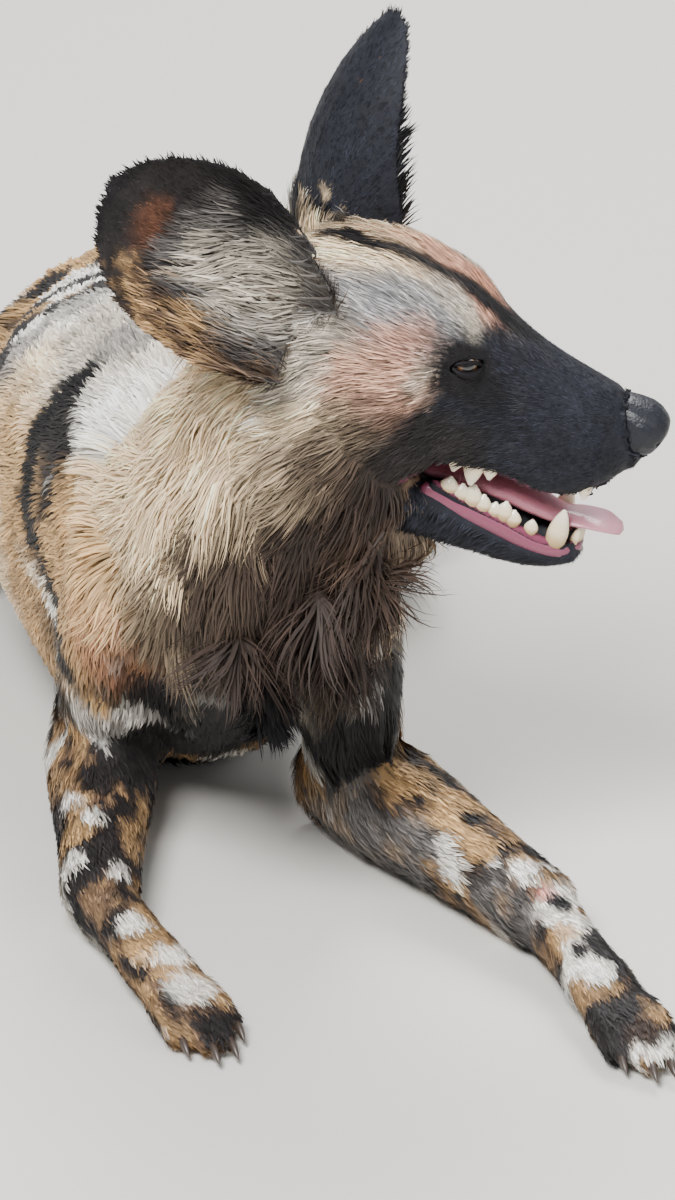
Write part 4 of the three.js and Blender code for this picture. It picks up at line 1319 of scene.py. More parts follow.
    def _inset(self, from_body: Array) -> None:
        """Draws the skin in by the depth of the coat, and more where one part of it dips under another.

        Args:
            from_body: whether each point comes from the body's surface.
        """
        over_neck = smooth_step(self.OVERLAP - 7, self.OVERLAP, self.near_head) * (self.solids == "neck")
        under_head = smooth_step(18, 6, self.near_head)
        dip = np.where(from_body, self.BODY_DIP * under_head, self.HEAD_DIP * over_neck)
        ahead = FRAMES.from_row(self.surface.points, Place.HEAD)[:, 0]
        under_nose = self.NOSE_DIP * smooth_step(-40, -31, ahead) * (self.solids == "head")
        depth = self.measures["inset"] + dip + under_nose + np.where(from_body, self.BODY_INSET, 0.0)
        self.surface.points = self.surface.points - self.surface.normals() * depth[:, None]
        self.surface.points[:, 2] = np.maximum(self.surface.points[:, 2], self.FLOOR_GAP)
        hidden = from_body & (self.near_head < 14)
        hidden |= ~from_body & (self.solids == "neck") & (self.near_head > 20)
        self.measures["density"] = self.measures["density"] * np.where(hidden, self.HIDDEN_SHARE, 1.0)

    def _finish_ears(self) -> None:
        """Long hair in the cup and at the root of each ear, and short hair on the rest of it."""
        for name, plan in EARS.items():
            here = self.solids == name
            t, across, inner = plan.place(self.surface.points[here], self.normals[here])
            long_hair = inner * smooth_step(0.75, 0.45, t) * smooth_step(0.98, 0.7, np.abs(across))
            long_hair = np.maximum(long_hair, 0.7 * smooth_step(0.2, 0.04, t))
            self.measures["length"][here] = self.EAR_LENGTH + self.EAR_LONGER * long_hair
            self.measures["width"][here] = self.EAR_WIDTH + self.EAR_WIDER * long_hair
            self.measures["density"][here] = EAR.density - self.EAR_THINNED * long_hair
            self.measures["lift"][here] = 0.1 + 0.12 * long_hair

    def _finish_mouth(self) -> None:
        """Pink lining, black lips and no coat inside the mouth."""
        head = FRAMES.from_row(self.surface.points, Place.HEAD)
        x, y, z = head.T
        flesh = np.isin(self.solids, ("head", "lower_jaw"))
        inner_wide = np.interp(x, (-150, -110, -60, -25), (46, 33, 25, 16))
        looks_up = self.normals @ FRAMES.aim((0, 0, 1), Place.HEAD)
        upper = (self.solids == "head") & (x > -152) & (x < -36) & (z < -24)
        upper &= (np.abs(y) < inner_wide) & (looks_up < 0.5)
        lip_line = np.interp(x, (-150, -104, -60, -36), (-60, -77, -93, -90))
        jaw = (self.solids == "lower_jaw") & (x > -150)
        inside = self.smoother.spread((upper | (jaw & (z > lip_line + 4))).astype(float), 2)
        self.inside = np.clip(inside * 1.4 - 0.2, 0, 1) * flesh
        self.colours = mix(self.colours, GUM, self.inside)
        rim = self.smoother.spread(self.inside, 4)
        lips = smooth_step(0.08, 0.4, rim) * (self.inside < 0.5)
        self.colours = mix(self.colours, BLACK, lips * 0.9)
        self.wet = np.clip(self.inside + 0.6 * lips, 0, 1)
        bare = self.smoother.spread((upper | (jaw & (z > lip_line - 1))).astype(float), 3)
        bare = smooth_step(0.12, 0.3, bare)
        self.measures["density"] = self.measures["density"] * (1 - bare)

    def piece(self, material: Material, unwrap: "Unwrap") -> Object:
        """The skin as an object that stands for the flesh solids.

        Args:
            material: the finish's material.
            unwrap: the places on the unwrap.

        Returns:
            The object.
        """
        mesh = mesh_from_arrays("skin", self.surface.points, [self.surface.faces])
        lay_out(mesh, unwrap.corner_places)
        paint_points(mesh, "coat", self.colours * self.SHADE)
        measure_points(mesh, "wet", self.wet)
        made = link(mesh, "skin", material)
        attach(made, "root")
        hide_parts(*COATS)
        return made


class Unwrap:
    """Lays the skin out flat: each solid's faces by the side that they look to, packed in rows."""

    MARGIN = 6.0

    def __init__(self, surface: Surface, solids: Array) -> None:
        """Packs the charts."""
        normals = surface.normals()
        faces = surface.faces
        looks = normals[faces].mean(axis=1)
        side = np.argmax(np.abs(looks), axis=1) * 2
        side += looks[np.arange(len(faces)), side // 2] > 0
        _, solid = np.unique(solids[faces[:, 0]], return_inverse=True)
        chart = solid * 6 + side
        corners = surface.points[faces]
        flat_axes = np.array([[1, 2], [1, 2], [0, 2], [0, 2], [0, 1], [0, 1]])[side]
        flat = np.take_along_axis(corners, np.repeat(flat_axes[:, None, :], 4, axis=1), axis=2)
        boxes = []
        for name in np.unique(chart):
            here = flat[chart == name]
            low, high = here.min(axis=(0, 1)), here.max(axis=(0, 1))
            boxes.append((name, low, high - low + self.MARGIN))
        boxes.sort(key=lambda box: -box[2][1])
        row_length = 1.1 * math.sqrt(sum(box[2][0] * box[2][1] for box in boxes))
        x = y = tallest = widest = 0.0
        places = np.empty_like(flat)
        for name, low, size in boxes:
            if x + size[0] > row_length and x > 0:
                x, y, tallest = 0.0, y + tallest, 0.0
            here = chart == name
            places[here] = flat[here] - low + np.array([x, y]) + self.MARGIN / 2
            x += size[0]
            tallest = max(tallest, size[1])
            widest = max(widest, x)
        self.corner_places = places / max(widest, y + tallest)


# Tufts of coat


class TuftRegion(Enum):
    """The pieces that the coat is split into."""

    HEAD = "coat_head"
    EARS = "coat_ears"
    NECK = "coat_neck"
    TRUNK = "coat_trunk"
    FORELEGS = "coat_forelegs"
    HIND = "coat_hind_legs"
    TAIL = "coat_tail"


REGION_SOLIDS: dict[TuftRegion, tuple[str, ...]] = {
    TuftRegion.HEAD: ("head", "lower_jaw"),
    TuftRegion.EARS: ("ear_left", "ear_right"),
    TuftRegion.NECK: ("neck",),
    TuftRegion.TRUNK: ("torso",),
    TuftRegion.FORELEGS: both_sides("upper_arm", "forearm", "forepaw"),
    TuftRegion.HIND: both_sides("thigh", "shank", "hind_paw"),
    TuftRegion.TAIL: ("tail_root", "tail_brush"),
}

LONG_COATS = (TuftRegion.NECK, TuftRegion.TAIL)


@dataclass
class TuftMaker:
    """Sets tufts over the skin and writes them as joined meshes."""

    skin: Skin
    unwrap: Unwrap
    lie: Lie
    material: Material
    seed: int = 5
    face_limit: int = 190_000
    patch: float = 0.0015
    quick_share: float = 0.3
    steps: int = 3
    long_steps: int = 5
    borrowing: float = 0.35
    root_depth: float = 0.6
    floor_gap: float = 0.6
    # Painted shade along a tuft: darker at the root, under the coat, lifting towards the tip
    root_tone: float = 0.7
    painted_shade_lift: float = 0.42
    droop_rate: float = 0.0022
    sway_rate: float = 0.075
    sway_wave: float = 34.0
    bend_wave: float = 22.0
    waves: float = 0.9
    bend_size: float = 1.4
    taper: float = 2.2
    pull_curve: float = 1.4
    group_shade: float = 0.1
    own_shade: float = 0.06
    grizzle_shade: float = 0.85
    own_normal: float = 0.45
    skin_normal: float = 0.55
    total: int = 0

    def __post_init__(self) -> None:
        """Prepares the skin's triangles, their areas and their places on the unwrap."""
        self.wave = [Grain(self.seed), Grain(self.seed + 1)]
        surface = self.skin.surface
        quads = surface.faces
        self.triangles = np.concatenate([quads[:, [0, 1, 2]], quads[:, [0, 2, 3]]])
        places = self.unwrap.corner_places
        self.flat = np.concatenate([places[:, [0, 1, 2]], places[:, [0, 2, 3]]])
        a, b, c = (surface.points[self.triangles[:, k]] for k in range(3))
        self.areas = np.linalg.norm(np.cross(b - a, c - a), axis=1) / 2
        floor_side = surface.points[self.triangles].mean(axis=1)[:, 2] < 1.5
        self.areas[floor_side] = 0

    def grow(self, region: TuftRegion) -> None:
        """Makes the coat pieces of one region.

        Args:
            region: the part of the coat.
        """
        rng = np.random.default_rng(self.seed + len(region.value))
        inside = np.isin(self.skin.solids[self.triangles[:, 0]], REGION_SOLIDS[region])
        density = self.skin.measures["density"][self.triangles].mean(axis=1) / 100
        wanted = self.areas * density * inside * 1.0
        count = int(wanted.sum())
        chosen = rng.choice(len(wanted), count, p=wanted / wanted.sum())
        shares = rng.dirichlet((1, 1, 1), count)
        corners = self.triangles[chosen]
        stations = self.long_steps if region in LONG_COATS else self.steps
        self._write(region, self._tufts(corners, shares, self.flat[chosen], stations, rng), stations)

    def _blend(self, values: Array, corners: Array, shares: Array) -> Array:
        """Values of the skin at places inside its triangles.

        Args:
            values: one number or one row for each skin point.
            corners: the three skin points round each place.
            shares: how near the place is to each of them.

        Returns:
            One number or row for each place.
        """
        picked = values[corners]
        if picked.ndim == 3:
            return np.sum(picked * shares[:, :, None], axis=1)
        return np.sum(picked * shares, axis=1)

    def _tufts(
        self, corners: Array, shares: Array, flat: Array, stations: int, rng: np.random.Generator
    ) -> dict[str, Array]:
        """Shapes and colours of tufts, with a painted shade that darkens each towards its root.

        Args:
            corners: the three skin points round each root.
            shares: how near the root is to each of them.
            flat: their places on the unwrap.
            stations: steps along a tuft.
            rng: the source of chance.

        Returns:
            Points, colours, unwrap places and outward directions.
        """
        skin, count = self.skin, len(corners)
        root = self._blend(skin.surface.points, corners, shares)
        out = unit(self._blend(skin.normals, corners, shares))
        measures = {key: self._blend(values, corners, shares) for key, values in skin.measures.items()}
        length = measures["length"] * rng.uniform(0.7, 1.2, count)
        width = measures["width"] * rng.uniform(0.7, 1.3, count)
        way = self.lie.at(root, out, 0.12 + 0.008 * measures["length"], skin.solids[corners[:, 0]])
        way = unit(way + np.cross(out, way) * rng.normal(0, 0.15, count)[:, None])
        side = unit(np.cross(out, way))
        lift = measures["lift"] * length * rng.uniform(0.55, 1.3, count)
        droop = self.droop_rate * np.maximum(length - 18, 0) * length
        leader, apart = self._leaders(root, measures["length"], rng)
        pull = measures["clump"] * np.clip(1.6 - apart / (4 + 0.22 * measures["length"]), 0, 1)
        sway = np.clip(measures["length"] - 16, 0, 40) * self.sway_rate
        phase = 6 * self.wave[0].at(root, self.sway_wave, 2)
        bend = self.wave[1].at(root, self.bend_wave, 2)
        points, painted_depth_shade = [], []
        for station in range(stations + 1):
            t = station / stations
            rise = lift * math.sin(math.pi * (0.1 + 0.55 * t)) * min(1.0, 2.2 * t + 0.1)
            rise = rise - self.root_depth * (1 - t)
            centre = root + way * (length * t)[:, None] + out * rise[:, None]
            wave = np.sin(2 * math.pi * self.waves * t + phase)
            swing = sway * t * (wave + self.bend_size * bend * t)
            centre += side * swing[:, None]
            centre[:, 2] -= droop * t * t
            centre += (centre[leader] - centre) * (pull * t**self.pull_curve)[:, None]
            half = (width * 0.5 * (1 - t**self.taper))[:, None]
            edges = [centre] if station == stations else [centre - side * half, centre + side * half]
            points += edges
            # Painted shade: darkest at the root and lifting to a little above the skin's colour at the tip
            painted_depth_shade += [self.root_tone + self.painted_shade_lift * t] * len(edges)
        points = np.stack(points, axis=1)
        points[:, :, 2] = np.maximum(points[:, :, 2], self.floor_gap)
        colour = self._blend(skin.colours, corners, shares)
        borrowed = rng.random(count) < self.borrowing
        colour[borrowed] = colour[leader[borrowed]]
        shade = rng.normal(0, self.group_shade, count)[leader] + rng.normal(0, self.own_shade, count)
        shade += rng.normal(0, self.grizzle_shade, count) * measures["grizzle"]
        colour = colour * np.exp(shade).clip(0.25, 2.1)[:, None]
        colour = colour[:, None, :] * np.array(painted_depth_shade)[None, :, None]
        place = np.sum(flat * shares[:, :, None], axis=1)
        return {"points": points, "colour": colour.clip(0.003, 0.95), "place": place, "out": out}

    @staticmethod
    def _leaders(root: Array, length: Array, rng: np.random.Generator) -> tuple[Array, Array]:
        """The tuft that each one gathers to, and how far away its root is.

        Args:
            root: where the tufts grow.
            length: how long they are in mm.
            rng: the source of chance.

        Returns:
            The leader of each tuft and its distance in mm.
        """
        share = np.clip(0.20 - 0.0028 * length, 0.05, 0.2)
        leads = np.flatnonzero(rng.random(len(root)) < share)
        tree = KDTree(len(leads))
        for index in leads:
            tree.insert(Vector(root[index]), int(index))
        tree.balance()
        found = [tree.find(Vector(point)) for point in root]
        return np.array([hit[1] for hit in found]), np.array([hit[2] for hit in found])

    def _write(self, region: TuftRegion, tufts: dict[str, Array], stations: int) -> None:
        """Splits a region's tufts into pieces under the limit of triangles.

        Args:
            region: the part of the coat, which names the pieces.
            tufts: points, colours, unwrap places and outward directions.
            stations: steps along a tuft.
        """
        triangles = 2 * (stations - 1) + 1
        limit = self.face_limit // triangles
        count = len(tufts["points"])
        pieces = max(1, math.ceil(count / limit))
        for number, part in enumerate(np.array_split(np.arange(count), pieces)):
            name = region.value if pieces == 1 else f"{region.value}_{number + 1}"
            self._piece(name, {key: values[part] for key, values in tufts.items()})
            self.total += len(part) * triangles

    def _piece(self, name: str, tufts: dict[str, Array]) -> None:
        """One joined mesh of tufts, with its colours, unwrap and soft shading.

        Args:
            name: the piece's name.
            tufts: points, colours, unwrap places and outward directions.
        """
        count, per = tufts["points"].shape[:2]
        starts = np.arange(count)[:, None] * per
        lower = range(0, per - 3, 2)
        quads = [starts + np.array([low + 1, low, low + 2, low + 3]) for low in lower]
        tip = starts + np.array([per - 2, per - 3, per - 1])
        mesh = mesh_from_arrays(name, tufts["points"].reshape(-1, 3), [*quads, tip])
        paint_points(mesh, "coat", tufts["colour"].reshape(-1, 3))
        corner_of_quad = np.array([[-1, -1], [1, -1], [1, 1], [-1, 1]]) * self.patch
        corner_of_tip = np.array([[-1, -1], [1, -1], [0, 1]]) * self.patch
        spots = [tufts["place"][:, None, :] + corner_of_quad for _ in quads]
        spots.append(tufts["place"][:, None, :] + corner_of_tip)
        lay_out(mesh, np.concatenate([spot.reshape(-1, 2) for spot in spots]))
        points = tufts["points"]
        across = points[:, 1] - points[:, 0]
        along = points[:, -1] - points[:, 0]
        own = unit(np.cross(along, across))
        shade = unit(own * self.own_normal + tufts["out"] * self.skin_normal)
        mesh.normals_split_custom_set_from_vertices(np.repeat(shade, per, axis=0).tolist())
        made = link(mesh, name, self.material)
        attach(made, "root")


# Bare pieces


def swept(
    name: str, stops: Sequence[Sequence[float]], reaches: Sequence[tuple[float, float]],
    side: Sequence[float], colour: Callable[[Array, Array], Array] | Colour,
    place: Place = Place.HEAD, around: int = 16, fine: int = 4,
) -> Mesh:
    """A round-ended bar along a path.

    Args:
        name: the mesh's name.
        stops: places along it in mm.
        reaches: half width and half height at each stop.
        side: the direction of its width.
        colour: one colour, or a function of the share along and the share round.
        place: the frame of the stops.
        around: corners round it.
        fine: steps from one stop to the next.

    Returns:
        The mesh, in the row frame.
    """
    count = (len(stops) - 1) * fine + 1
    at = np.linspace(0, len(stops) - 1, count)
    centres = np.stack([smooth_through(np.array(stops)[:, k], at) for k in range(3)], axis=1)
    wide, high = (smooth_through(np.array(reaches)[:, k], at) for k in range(2))
    ahead = unit(np.gradient(centres, axis=0))
    across = unit(np.array(side, float) - ahead * (ahead @ np.array(side, float))[:, None])
    up = np.cross(across, ahead)
    shape = bmesh.new()
    bmesh.ops.create_grid(shape, x_segments=around, y_segments=count + 3, size=1.0)
    rows = []
    for vertex in shape.verts:
        turn = (vertex.co.x + 1) / 2
        step = round((vertex.co.y + 1) / 2 * (count + 3))
        k = min(max(step - 2, 0), count - 1)
        ends = {0: (0.0, -1.0), 1: (0.72, -0.7), count + 2: (0.72, 0.7), count + 3: (0.0, 1.0)}
        scale, push = ends.get(step, (1.0, 0.0))
        angle = 2 * math.pi * turn
        reach = 0.5 * (wide[k] + high[k])
        spot = (
            centres[k] + across[k] * (wide[k] * math.cos(angle) * scale)
            + up[k] * (high[k] * math.sin(angle) * scale) + ahead[k] * (push * reach)
        )
        rows.append((k / (count - 1), turn))
        vertex.co = Vector(FRAMES.to_row(spot, place) * MM)
    mesh = bpy.data.meshes.new(name)
    shape.to_mesh(mesh)
    rows = np.array(rows)
    tint = colour(rows[:, 0], rows[:, 1]) if callable(colour) else plain(colour, len(rows))
    paint_points(mesh, "coat", tint)
    shape.clear()
    shape.from_mesh(mesh)
    bmesh.ops.remove_doubles(shape, verts=shape.verts, dist=0.01 * MM)
    bmesh.ops.recalc_face_normals(shape, faces=shape.faces)
    shape.to_mesh(mesh)
    shape.free()
    mesh.shade_smooth()
    return mesh


def smooth_through(values: Array, at: Array) -> Array:
    """A smooth curve through values that stand at 0, 1, 2 and so on.

    Args:
        values: the values.
        at: where the curve is read.

    Returns:
        The curve's values.
    """
    last = len(values) - 1
    low = np.clip(np.floor(at).astype(int), 0, last - 1)
    part = at - low
    a, b, c, d = (values[np.clip(low + k, 0, last)] for k in (-1, 0, 1, 2))
    return b + 0.5 * part * (c - a + part * (2 * a - 5 * b + 4 * c - d + part * (3 * (b - c) + d - a)))


def joined(
    name: str, meshes: Sequence[Mesh], material: Material, *stands_for: str, slot: str
) -> Object:
    """Several meshes as one object that rides on the body.

    Args:
        name: the object's name.
        meshes: the meshes.
        material: the finish's material.
        stands_for: the CAD nodes that the object replaces.
        slot: the object's slot, which is not used.

    Returns:
        The object.
    """
    shape = bmesh.new()
    for mesh in meshes:
        shape.from_mesh(mesh)
    whole = settle(shape, name)
    whole.shade_smooth()
    made = link(whole, name, material)
    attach(made, "root")
    if stands_for:
        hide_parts(*stands_for)
    return made


@dataclass
class Eyes:
    """Both eyeballs with iris and pupil, and the black rims of their lids."""

    iris: float = 6.4
    pupil: float = 3.3
    white: Colour = (0.045, 0.026, 0.020)
    iris_colour: Colour = (0.100, 0.046, 0.014)
    iris_inner: Colour = (0.050, 0.020, 0.008)
    pupil_colour: Colour = (0.002, 0.002, 0.002)
    cornea_rise: float = 0.06
    slit_long: float = 26.0
    slit_high: float = 9.0
    upper_rim: float = 2.2
    lower_rim: float = 1.3

    def build(self, wet: Material, dark: Material) -> None:
        """Makes both eyes and their rims.

        Args:
            wet: the material of the eyeballs.
            dark: the material of the rims.
        """
        for sign, name in ((1, "eye_left"), (-1, "eye_right")):
            centre = np.array(EYE_CENTRE) * (1, sign, 1)
            look = unit(np.array(EYE_LOOK) * (1, sign, 1))
            self._ball(name, centre, look, wet)
            self._rims(name, centre, look, sign, dark)

    def _ball(self, name: str, centre: Array, look: Array, wet: Material) -> None:
        """An eyeball whose iris looks one way.

        Args:
            name: the piece's name.
            centre: the middle of the eyeball in the head's frame.
            look: the way that the eye looks.
            wet: the material of the eyeballs.
        """
        shape = bmesh.new()
        bmesh.ops.create_uvsphere(shape, u_segments=64, v_segments=48, radius=1.0)
        turn = Vector((0, 0, 1)).rotation_difference(Vector(FRAMES.aim(look, Place.HEAD))).to_matrix()
        angles = np.array([math.acos(max(-1.0, min(1.0, v.co.z))) for v in shape.verts])
        row_centre = FRAMES.to_row(centre, Place.HEAD)
        for vertex, angle in zip(shape.verts, angles):
            bulge = 1.0 + self.cornea_rise * math.exp(-((angle / 0.45) ** 2))
            spot = turn @ (vertex.co.copy() * EYE_RADIUS * bulge)
            vertex.co = (Vector(row_centre) + spot) * MM
        mesh = settle(shape, f"{name}_ball")
        off = angles * EYE_RADIUS
        colour = plain(self.white, len(off))
        colour = mix(colour, self.iris_colour, smooth_step(self.iris + 0.4, self.iris - 0.8, off))
        colour = mix(colour, self.iris_inner, smooth_step(self.pupil + 1.6, self.pupil + 0.2, off) * 0.8)
        colour = mix(colour, self.pupil_colour, smooth_step(self.pupil + 0.3, self.pupil - 0.2, off))
        paint_points(mesh, "coat", colour)
        mesh.shade_smooth()
        made = link(mesh, f"{name}_ball", wet)
        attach(made, "root")
        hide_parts(name)

    def _rims(self, name: str, centre: Array, look: Array, sign: int, dark: Material) -> None:
        """The black rims of both lids, round the slit of the eye.

        Args:
            name: the piece's name.
            centre: the middle of the eyeball in the head's frame.
            look: the way that the eye looks.
            sign: 1 for the left eye and -1 for the right.
            dark: the material of the rims.
        """
        ahead = unit(np.array((1.0, 0, 0)) - look * look[0])
        up = np.cross(look, ahead) * sign
        tilt = math.radians(-8)
        ahead, up = ahead * math.cos(tilt) + up * math.sin(tilt), up * math.cos(tilt) - ahead * math.sin(tilt)
        lids = []
        for top, share, rim in ((1, 0.46, self.upper_rim), (-1, 0.36, self.lower_rim)):
            stops = []
            for k in range(7):
                s = -1 + 2 * k / 6
                rise = top * self.slit_high * share * (1 - s * s) ** 0.9
                spot = look * EYE_RADIUS + ahead * (s * self.slit_long / 2) + up * rise
                stops.append(centre + unit(spot) * (EYE_RADIUS + 1.6))
            thick = [(rim * t, rim * t * 0.9) for t in (0.6, 0.9, 1.1, 1.15, 1.1, 0.9, 0.6)]
            lids.append(swept(f"{name}_lid", stops, thick, look, BLACK, around=10))
        joined(f"{name}_rims", lids, dark, slot="dark_coat")


@dataclass(frozen=True)
class Tooth:
    """A tooth: where it stands, how far it reaches and how thick it is."""

    x: float
    y: float
    base: float
    tip: float
    radius: float
    lean: float = 0.0


@dataclass
class Mouth:
    """Teeth, gums and tongue.

    A gum is rows of x, y, z, half width and half height, the lower one first, and the tongue is rows of
    x, z, half width and half height, all in mm in the head's frame.
    """

    upper: tuple[Tooth, ...] = (
        Tooth(-44, 20, -34, -51, 5.0, 2), Tooth(-57, 22, -36, -43, 4.0), Tooth(-70, 24, -36, -45, 4.8),
        Tooth(-86, 26, -35, -46, 5.4), Tooth(-101, 28, -34, -50, 5.8, 1), Tooth(-111, 29, -34, -56, 6.4, 1),
        Tooth(-121, 29, -34, -50, 5.8, -1),
    )
    lower: tuple[Tooth, ...] = (
        Tooth(-52, 16.5, -86, -65, 5.6, 1), Tooth(-68, 19, -82, -75, 3.8), Tooth(-80, 21, -78, -71, 4.6),
        Tooth(-86, 21.5, -76, -66.5, 4.8), Tooth(-92, 22, -75, -68.5, 4.6), Tooth(-100, 23, -73, -65, 5.0),
        Tooth(-107, 23.5, -71, -60, 5.6), Tooth(-114, 24, -69, -61, 5.2), Tooth(-122, 24.5, -66, -58, 5.2),
    )
    gums: tuple[tuple[tuple[float, ...], ...], ...] = (
        (
            (-134, 25.5, -70, 4.4, 6.2), (-112, 24.5, -77, 4.4, 6.2), (-88, 21.5, -84, 4.4, 6.2),
            (-66, 18.5, -91, 4.0, 5.0), (-48, 14.5, -93, 4.0, 5.0), (-39, 5, -92, 3.6, 5.0),
        ),
        (
            (-130, 30, -33, 5.4, 6), (-104, 28, -32, 5.4, 6), (-80, 25.5, -34, 5.4, 6),
            (-56, 22, -35, 5.4, 6), (-41, 18, -34, 5, 5), (-32, 5, -34, 5, 5),
        ),
    )
    tongue: tuple[tuple[float, ...], ...] = (
        (-136, -64, 15, 6), (-114, -63, 17, 7), (-92, -65.5, 17.5, 7), (-70, -71, 15.5, 6),
        (-52, -75, 13, 4.2), (-38, -73.5, 14.5, 3.0), (-26, -73, 14.5, 2.3), (-20, -74, 12, 1.8),
    )
    along: float = 1.25
    ivory: Colour = (0.74, 0.62, 0.42)
    pale: Colour = (0.84, 0.76, 0.60)
    stained: Colour = (0.50, 0.34, 0.16)
    tongue_back: Colour = (0.34, 0.12, 0.155)
    tongue_tip: Colour = (0.44, 0.20, 0.245)

    def _cusp(self, start: Array, end: Array, radius: float) -> Mesh:
        """One cusp of a tooth, stained at its root and pale at its tip.

        Args:
            start: the middle of its root.
            end: its tip.
            radius: its radius in mm.

        Returns:
            The mesh.
        """
        middle = start + (end - start) * 0.5
        stops = [start, start + (end - start) * 0.25, middle, start + (end - start) * 0.8, end]
        reaches = [(radius * s * self.along, radius * s * 0.8) for s in (0.9, 0.94, 0.84, 0.56, 0.24)]

        def tint(along: Array, _round: Array) -> Array:
            """The colour along the piece.

            Args:
                along: share of the way to the tip.
                _round: share of the way round, which changes nothing here.

            Returns:
                One colour for each point.
            """
            base = plain(self.stained, len(along))
            base = mix(base, self.ivory, smooth_step(0.05, 0.4, along))
            return mix(base, self.pale, smooth_step(0.45, 0.95, along))

        return swept("cusp", stops, reaches, (1, 0, 0), tint, around=12, fine=2)

    def _row(self, teeth: Sequence[Tooth]) -> list[Mesh]:
        """Teeth on both sides of a jaw.

        Args:
            teeth: the teeth of the left side.

        Returns:
            The meshes.
        """
        made = []
        for tooth in teeth:
            for sign in (1, -1):
                start = np.array((tooth.x, tooth.y * sign, tooth.base))
                end = np.array((tooth.x + tooth.lean, tooth.y * sign, tooth.tip))
                made.append(self._cusp(start, end, tooth.radius))
        return made

    def _incisors(self, x: float, base: float, tip: float) -> list[Mesh]:
        """The six small teeth at the front of a jaw.

        Args:
            x: how far ahead they stand.
            base: the height of their roots.
            tip: the height of their tips.

        Returns:
            The meshes.
        """
        made = []
        for y in (-9, -5.4, -1.8, 1.8, 5.4, 9):
            back = abs(y) * 0.35
            made.append(self._cusp(np.array((x - back, y, base)), np.array((x + 1.5 - back, y, tip)), 2.3))
        return made

    def build(self, tooth: Material, flesh: Material) -> None:
        """Makes the teeth, the gums and the tongue.

        Args:
            tooth: the material of the teeth.
            flesh: the material of gums and tongue.
        """
        upper = self._row(self.upper) + self._incisors(-32, -33, -43)
        lower = self._row(self.lower) + self._incisors(-38, -88, -77)
        joined("teeth_upper", upper, tooth, slot="dark_coat")
        joined("teeth_lower", lower, tooth, slot="dark_coat")
        self._gums(flesh)
        self._tongue(flesh)

    def _gums(self, flesh: Material) -> None:
        """The gums of both jaws, as bars along the rows of teeth.

        Args:
            flesh: the material of gums and tongue.
        """
        made = []
        for sign in (1, -1):
            for gum in self.gums:
                stops = [(x, y * sign, z) for x, y, z, _, _ in gum]
                reaches = [(wide, high) for _, _, _, wide, high in gum]
                made.append(swept("gum", stops, reaches, (0, 1, 0), GUM))
        joined("gums", made, flesh, slot="tongue")

    def _tongue(self, flesh: Material) -> None:
        """The tongue, which hangs a little past the front teeth.

        Args:
            flesh: the material of gums and tongue.
        """
        stops = [(x, 0, z) for x, z, _, _ in self.tongue]
        reaches = [(wide, high) for _, _, wide, high in self.tongue]

        def tint(along: Array, _round: Array) -> Array:
            """The colour along the piece."""
            base = plain(self.tongue_back, len(along))
            return mix(base, self.tongue_tip, smooth_step(0.4, 1.0, along))

        mesh = swept("tongue", stops, reaches, (0, 1, 0), tint, around=32, fine=6)
        joined("tongue_flesh", [mesh], flesh, "tongue", slot="tongue")


@dataclass
class NoseLeather:
    """The nose pad, laid over its solid and pebbled."""

    voxel: float = 0.8
    grow: float = 1.0
    colour: Colour = (0.011, 0.012, 0.017)

    def build(self, material: Material) -> None:
        """Makes the nose pad.

        Args:
            material: the finish's material.
        """
        surface = even_copy(["nose_leather"], self.voxel)
        surface.points = Smoother(surface).spread(surface.points, 5)
        surface.points = surface.points + surface.normals() * self.grow
        mesh = mesh_from_arrays("nose", surface.points, [surface.faces])
        paint_points(mesh, "coat", plain(self.colour, len(surface.points)))
        piece = link(mesh, "nose", material)
        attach(piece, "root")
        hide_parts("nose_leather")


class Claws:
    """A curved claw over each claw solid."""

    def build(self, material: Material) -> None:
        """Makes all the claws.

        Args:
            material: the finish's material.
        """
        names = [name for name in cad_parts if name.startswith("claw")]
        for name in names:
            low, high = (np.array(corner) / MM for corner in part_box(name))
            co = np.array([vertex.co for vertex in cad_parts[name].data.vertices]) / MM
            tip = co[np.argmin(co[:, 1])]
            root = co[np.argmax(co[:, 1])]
            root[2] = (low[2] + high[2]) / 2 + 0.8
            arch = ((0.0, 0.0), (0.4, 1.2), (0.75, 0.6), (1.0, 0.0))
            stops = [FRAMES.from_row(root + (tip - root) * share + (0, 0, rise)) for share, rise in arch]
            reaches = [(2.6, 3.3), (2.5, 3.2), (1.8, 2.3), (0.5, 0.6)]
            mesh = swept(name, stops, reaches, (1, 0, 0), HORN, Place.BODY, 12)
            joined(f"{name}_horn", [mesh], material, name, slot="claw")


# Stage


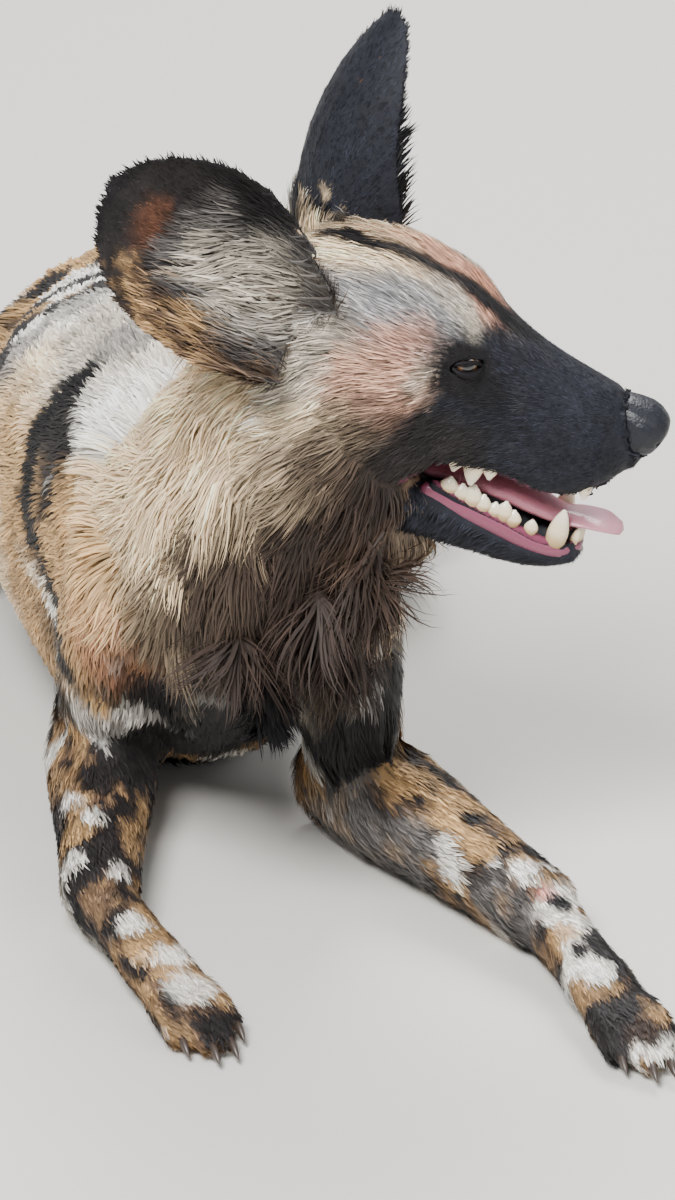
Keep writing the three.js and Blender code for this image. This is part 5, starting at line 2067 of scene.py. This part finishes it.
@dataclass(frozen=True)
class Stage:
    """Pale floor, soft light and a camera at the photo's angle."""

    azimuth: float = -10.0
    elevation: float = 28.0
    distance: float = 5000.0
    lens: float = 243.0
    target: tuple[float, float, float] = (67.0, -57.5, 179.5)
    sky_colour: tuple[float, float, float, float] = (0.86, 0.9, 0.95, 1)
    sky_power: float = 0.42

    def build(self, floor_finish: Material) -> None:
        """Makes the floor, the lights and the camera.

        Args:
            floor_finish: the floor's material.
        """
        shape = bmesh.new()
        bmesh.ops.create_grid(shape, x_segments=1, y_segments=1, size=9.0)
        floor = link(settle(shape, "floor"), "floor", floor_finish)
        self._lights()
        self._camera()

    def _lights(self) -> None:
        """Three soft lamps and an even sky."""
        target = Vector(FRAMES.to_row(self.target) * MM)
        lamps = (
            ("key", -34, 54, 3.2, 1.2, 210), ("fill", 48, 30, 3.4, 2.6, 50), ("rim", 160, 48, 3.2, 1.4, 130),
        )
        for name, azimuth, elevation, far, size, power in lamps:
            light = bpy.data.lights.new(name, "AREA")
            light.energy, light.size = power, size
            made = stand(name, light)
            made.location = target + self._towards(azimuth, elevation) * far
            made.rotation_euler = (made.location - target).to_track_quat("Z", "Y").to_euler()
        world = bpy.data.worlds.new("world")
        world.use_nodes = True
        sky = world.node_tree.nodes["Background"].inputs
        sky["Color"].default_value = self.sky_colour
        sky["Strength"].default_value = self.sky_power
        bpy.context.scene.world = world

    @staticmethod
    def _towards(azimuth: float, elevation: float) -> Vector:
        """The direction of a lamp or the camera from the target, from its two angles in degrees."""
        a, e = math.radians(azimuth), math.radians(elevation)
        return Vector((math.sin(a) * math.cos(e), -math.cos(a) * math.cos(e), math.sin(e)))

    def _camera(self) -> None:
        """The camera at the photo's angle, with its framing."""
        target = Vector(FRAMES.to_row(self.target) * MM)
        camera = bpy.data.cameras.new("camera")
        camera.lens = self.lens
        camera.sensor_width = 36.0
        camera.clip_end = 100.0
        made = stand("camera", camera)
        made.location = target + self._towards(self.azimuth, self.elevation) * (self.distance * MM)
        made.rotation_euler = (made.location - target).to_track_quat("Z", "Y").to_euler()
        bpy.context.scene.camera = made


def main() -> None:
    """Builds every piece and reports it."""
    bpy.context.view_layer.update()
    markings = Markings()
    skin = Skin(markings)
    log.info("skin: %d points", len(skin.surface.points))
    unwrap = Unwrap(skin.surface, skin.solids)
    skin.piece(CoatFinish("skin", roughness=0.7, grain_scale=700).material(), unwrap)
    fur = CoatFinish("fur", bump=0.1).material()
    maker = TuftMaker(skin, unwrap, Lie(), fur)
    for region in TuftRegion:
        maker.grow(region)
        log.info("%s: %d triangles so far", region.value, maker.total)
    wet = MoistFinish("eye_wet", roughness=0.08, coat=1.0, scale=60, bump=0.0).material()
    dark = MoistFinish("lid_rim", roughness=0.6, coat=0.0, scale=900, bump=0.3, specular=0.15).material()
    Eyes().build(wet, dark)
    flesh = MoistFinish("moist_flesh", roughness=0.45, coat=0.3, scale=900, bump=0.35, soft=0.15).material()
    tooth = MoistFinish("tooth", roughness=0.25, coat=0.4, scale=260, bump=0.12, soft=0.1).material()
    Mouth().build(tooth, flesh)
    NoseLeather().build(
        MoistFinish(
            "nose_skin", roughness=0.46, coat=0.06, scale=620, bump=0.4, specular=0.28, pebbled=True
        ).material()
    )
    Claws().build(MoistFinish("horn", roughness=0.4, coat=0.2, scale=300, bump=0.2).material())
    Stage().build(PlainFinish("pale_floor", (0.62, 0.60, 0.56)).material())


if __name__ == "__main__":
    main()
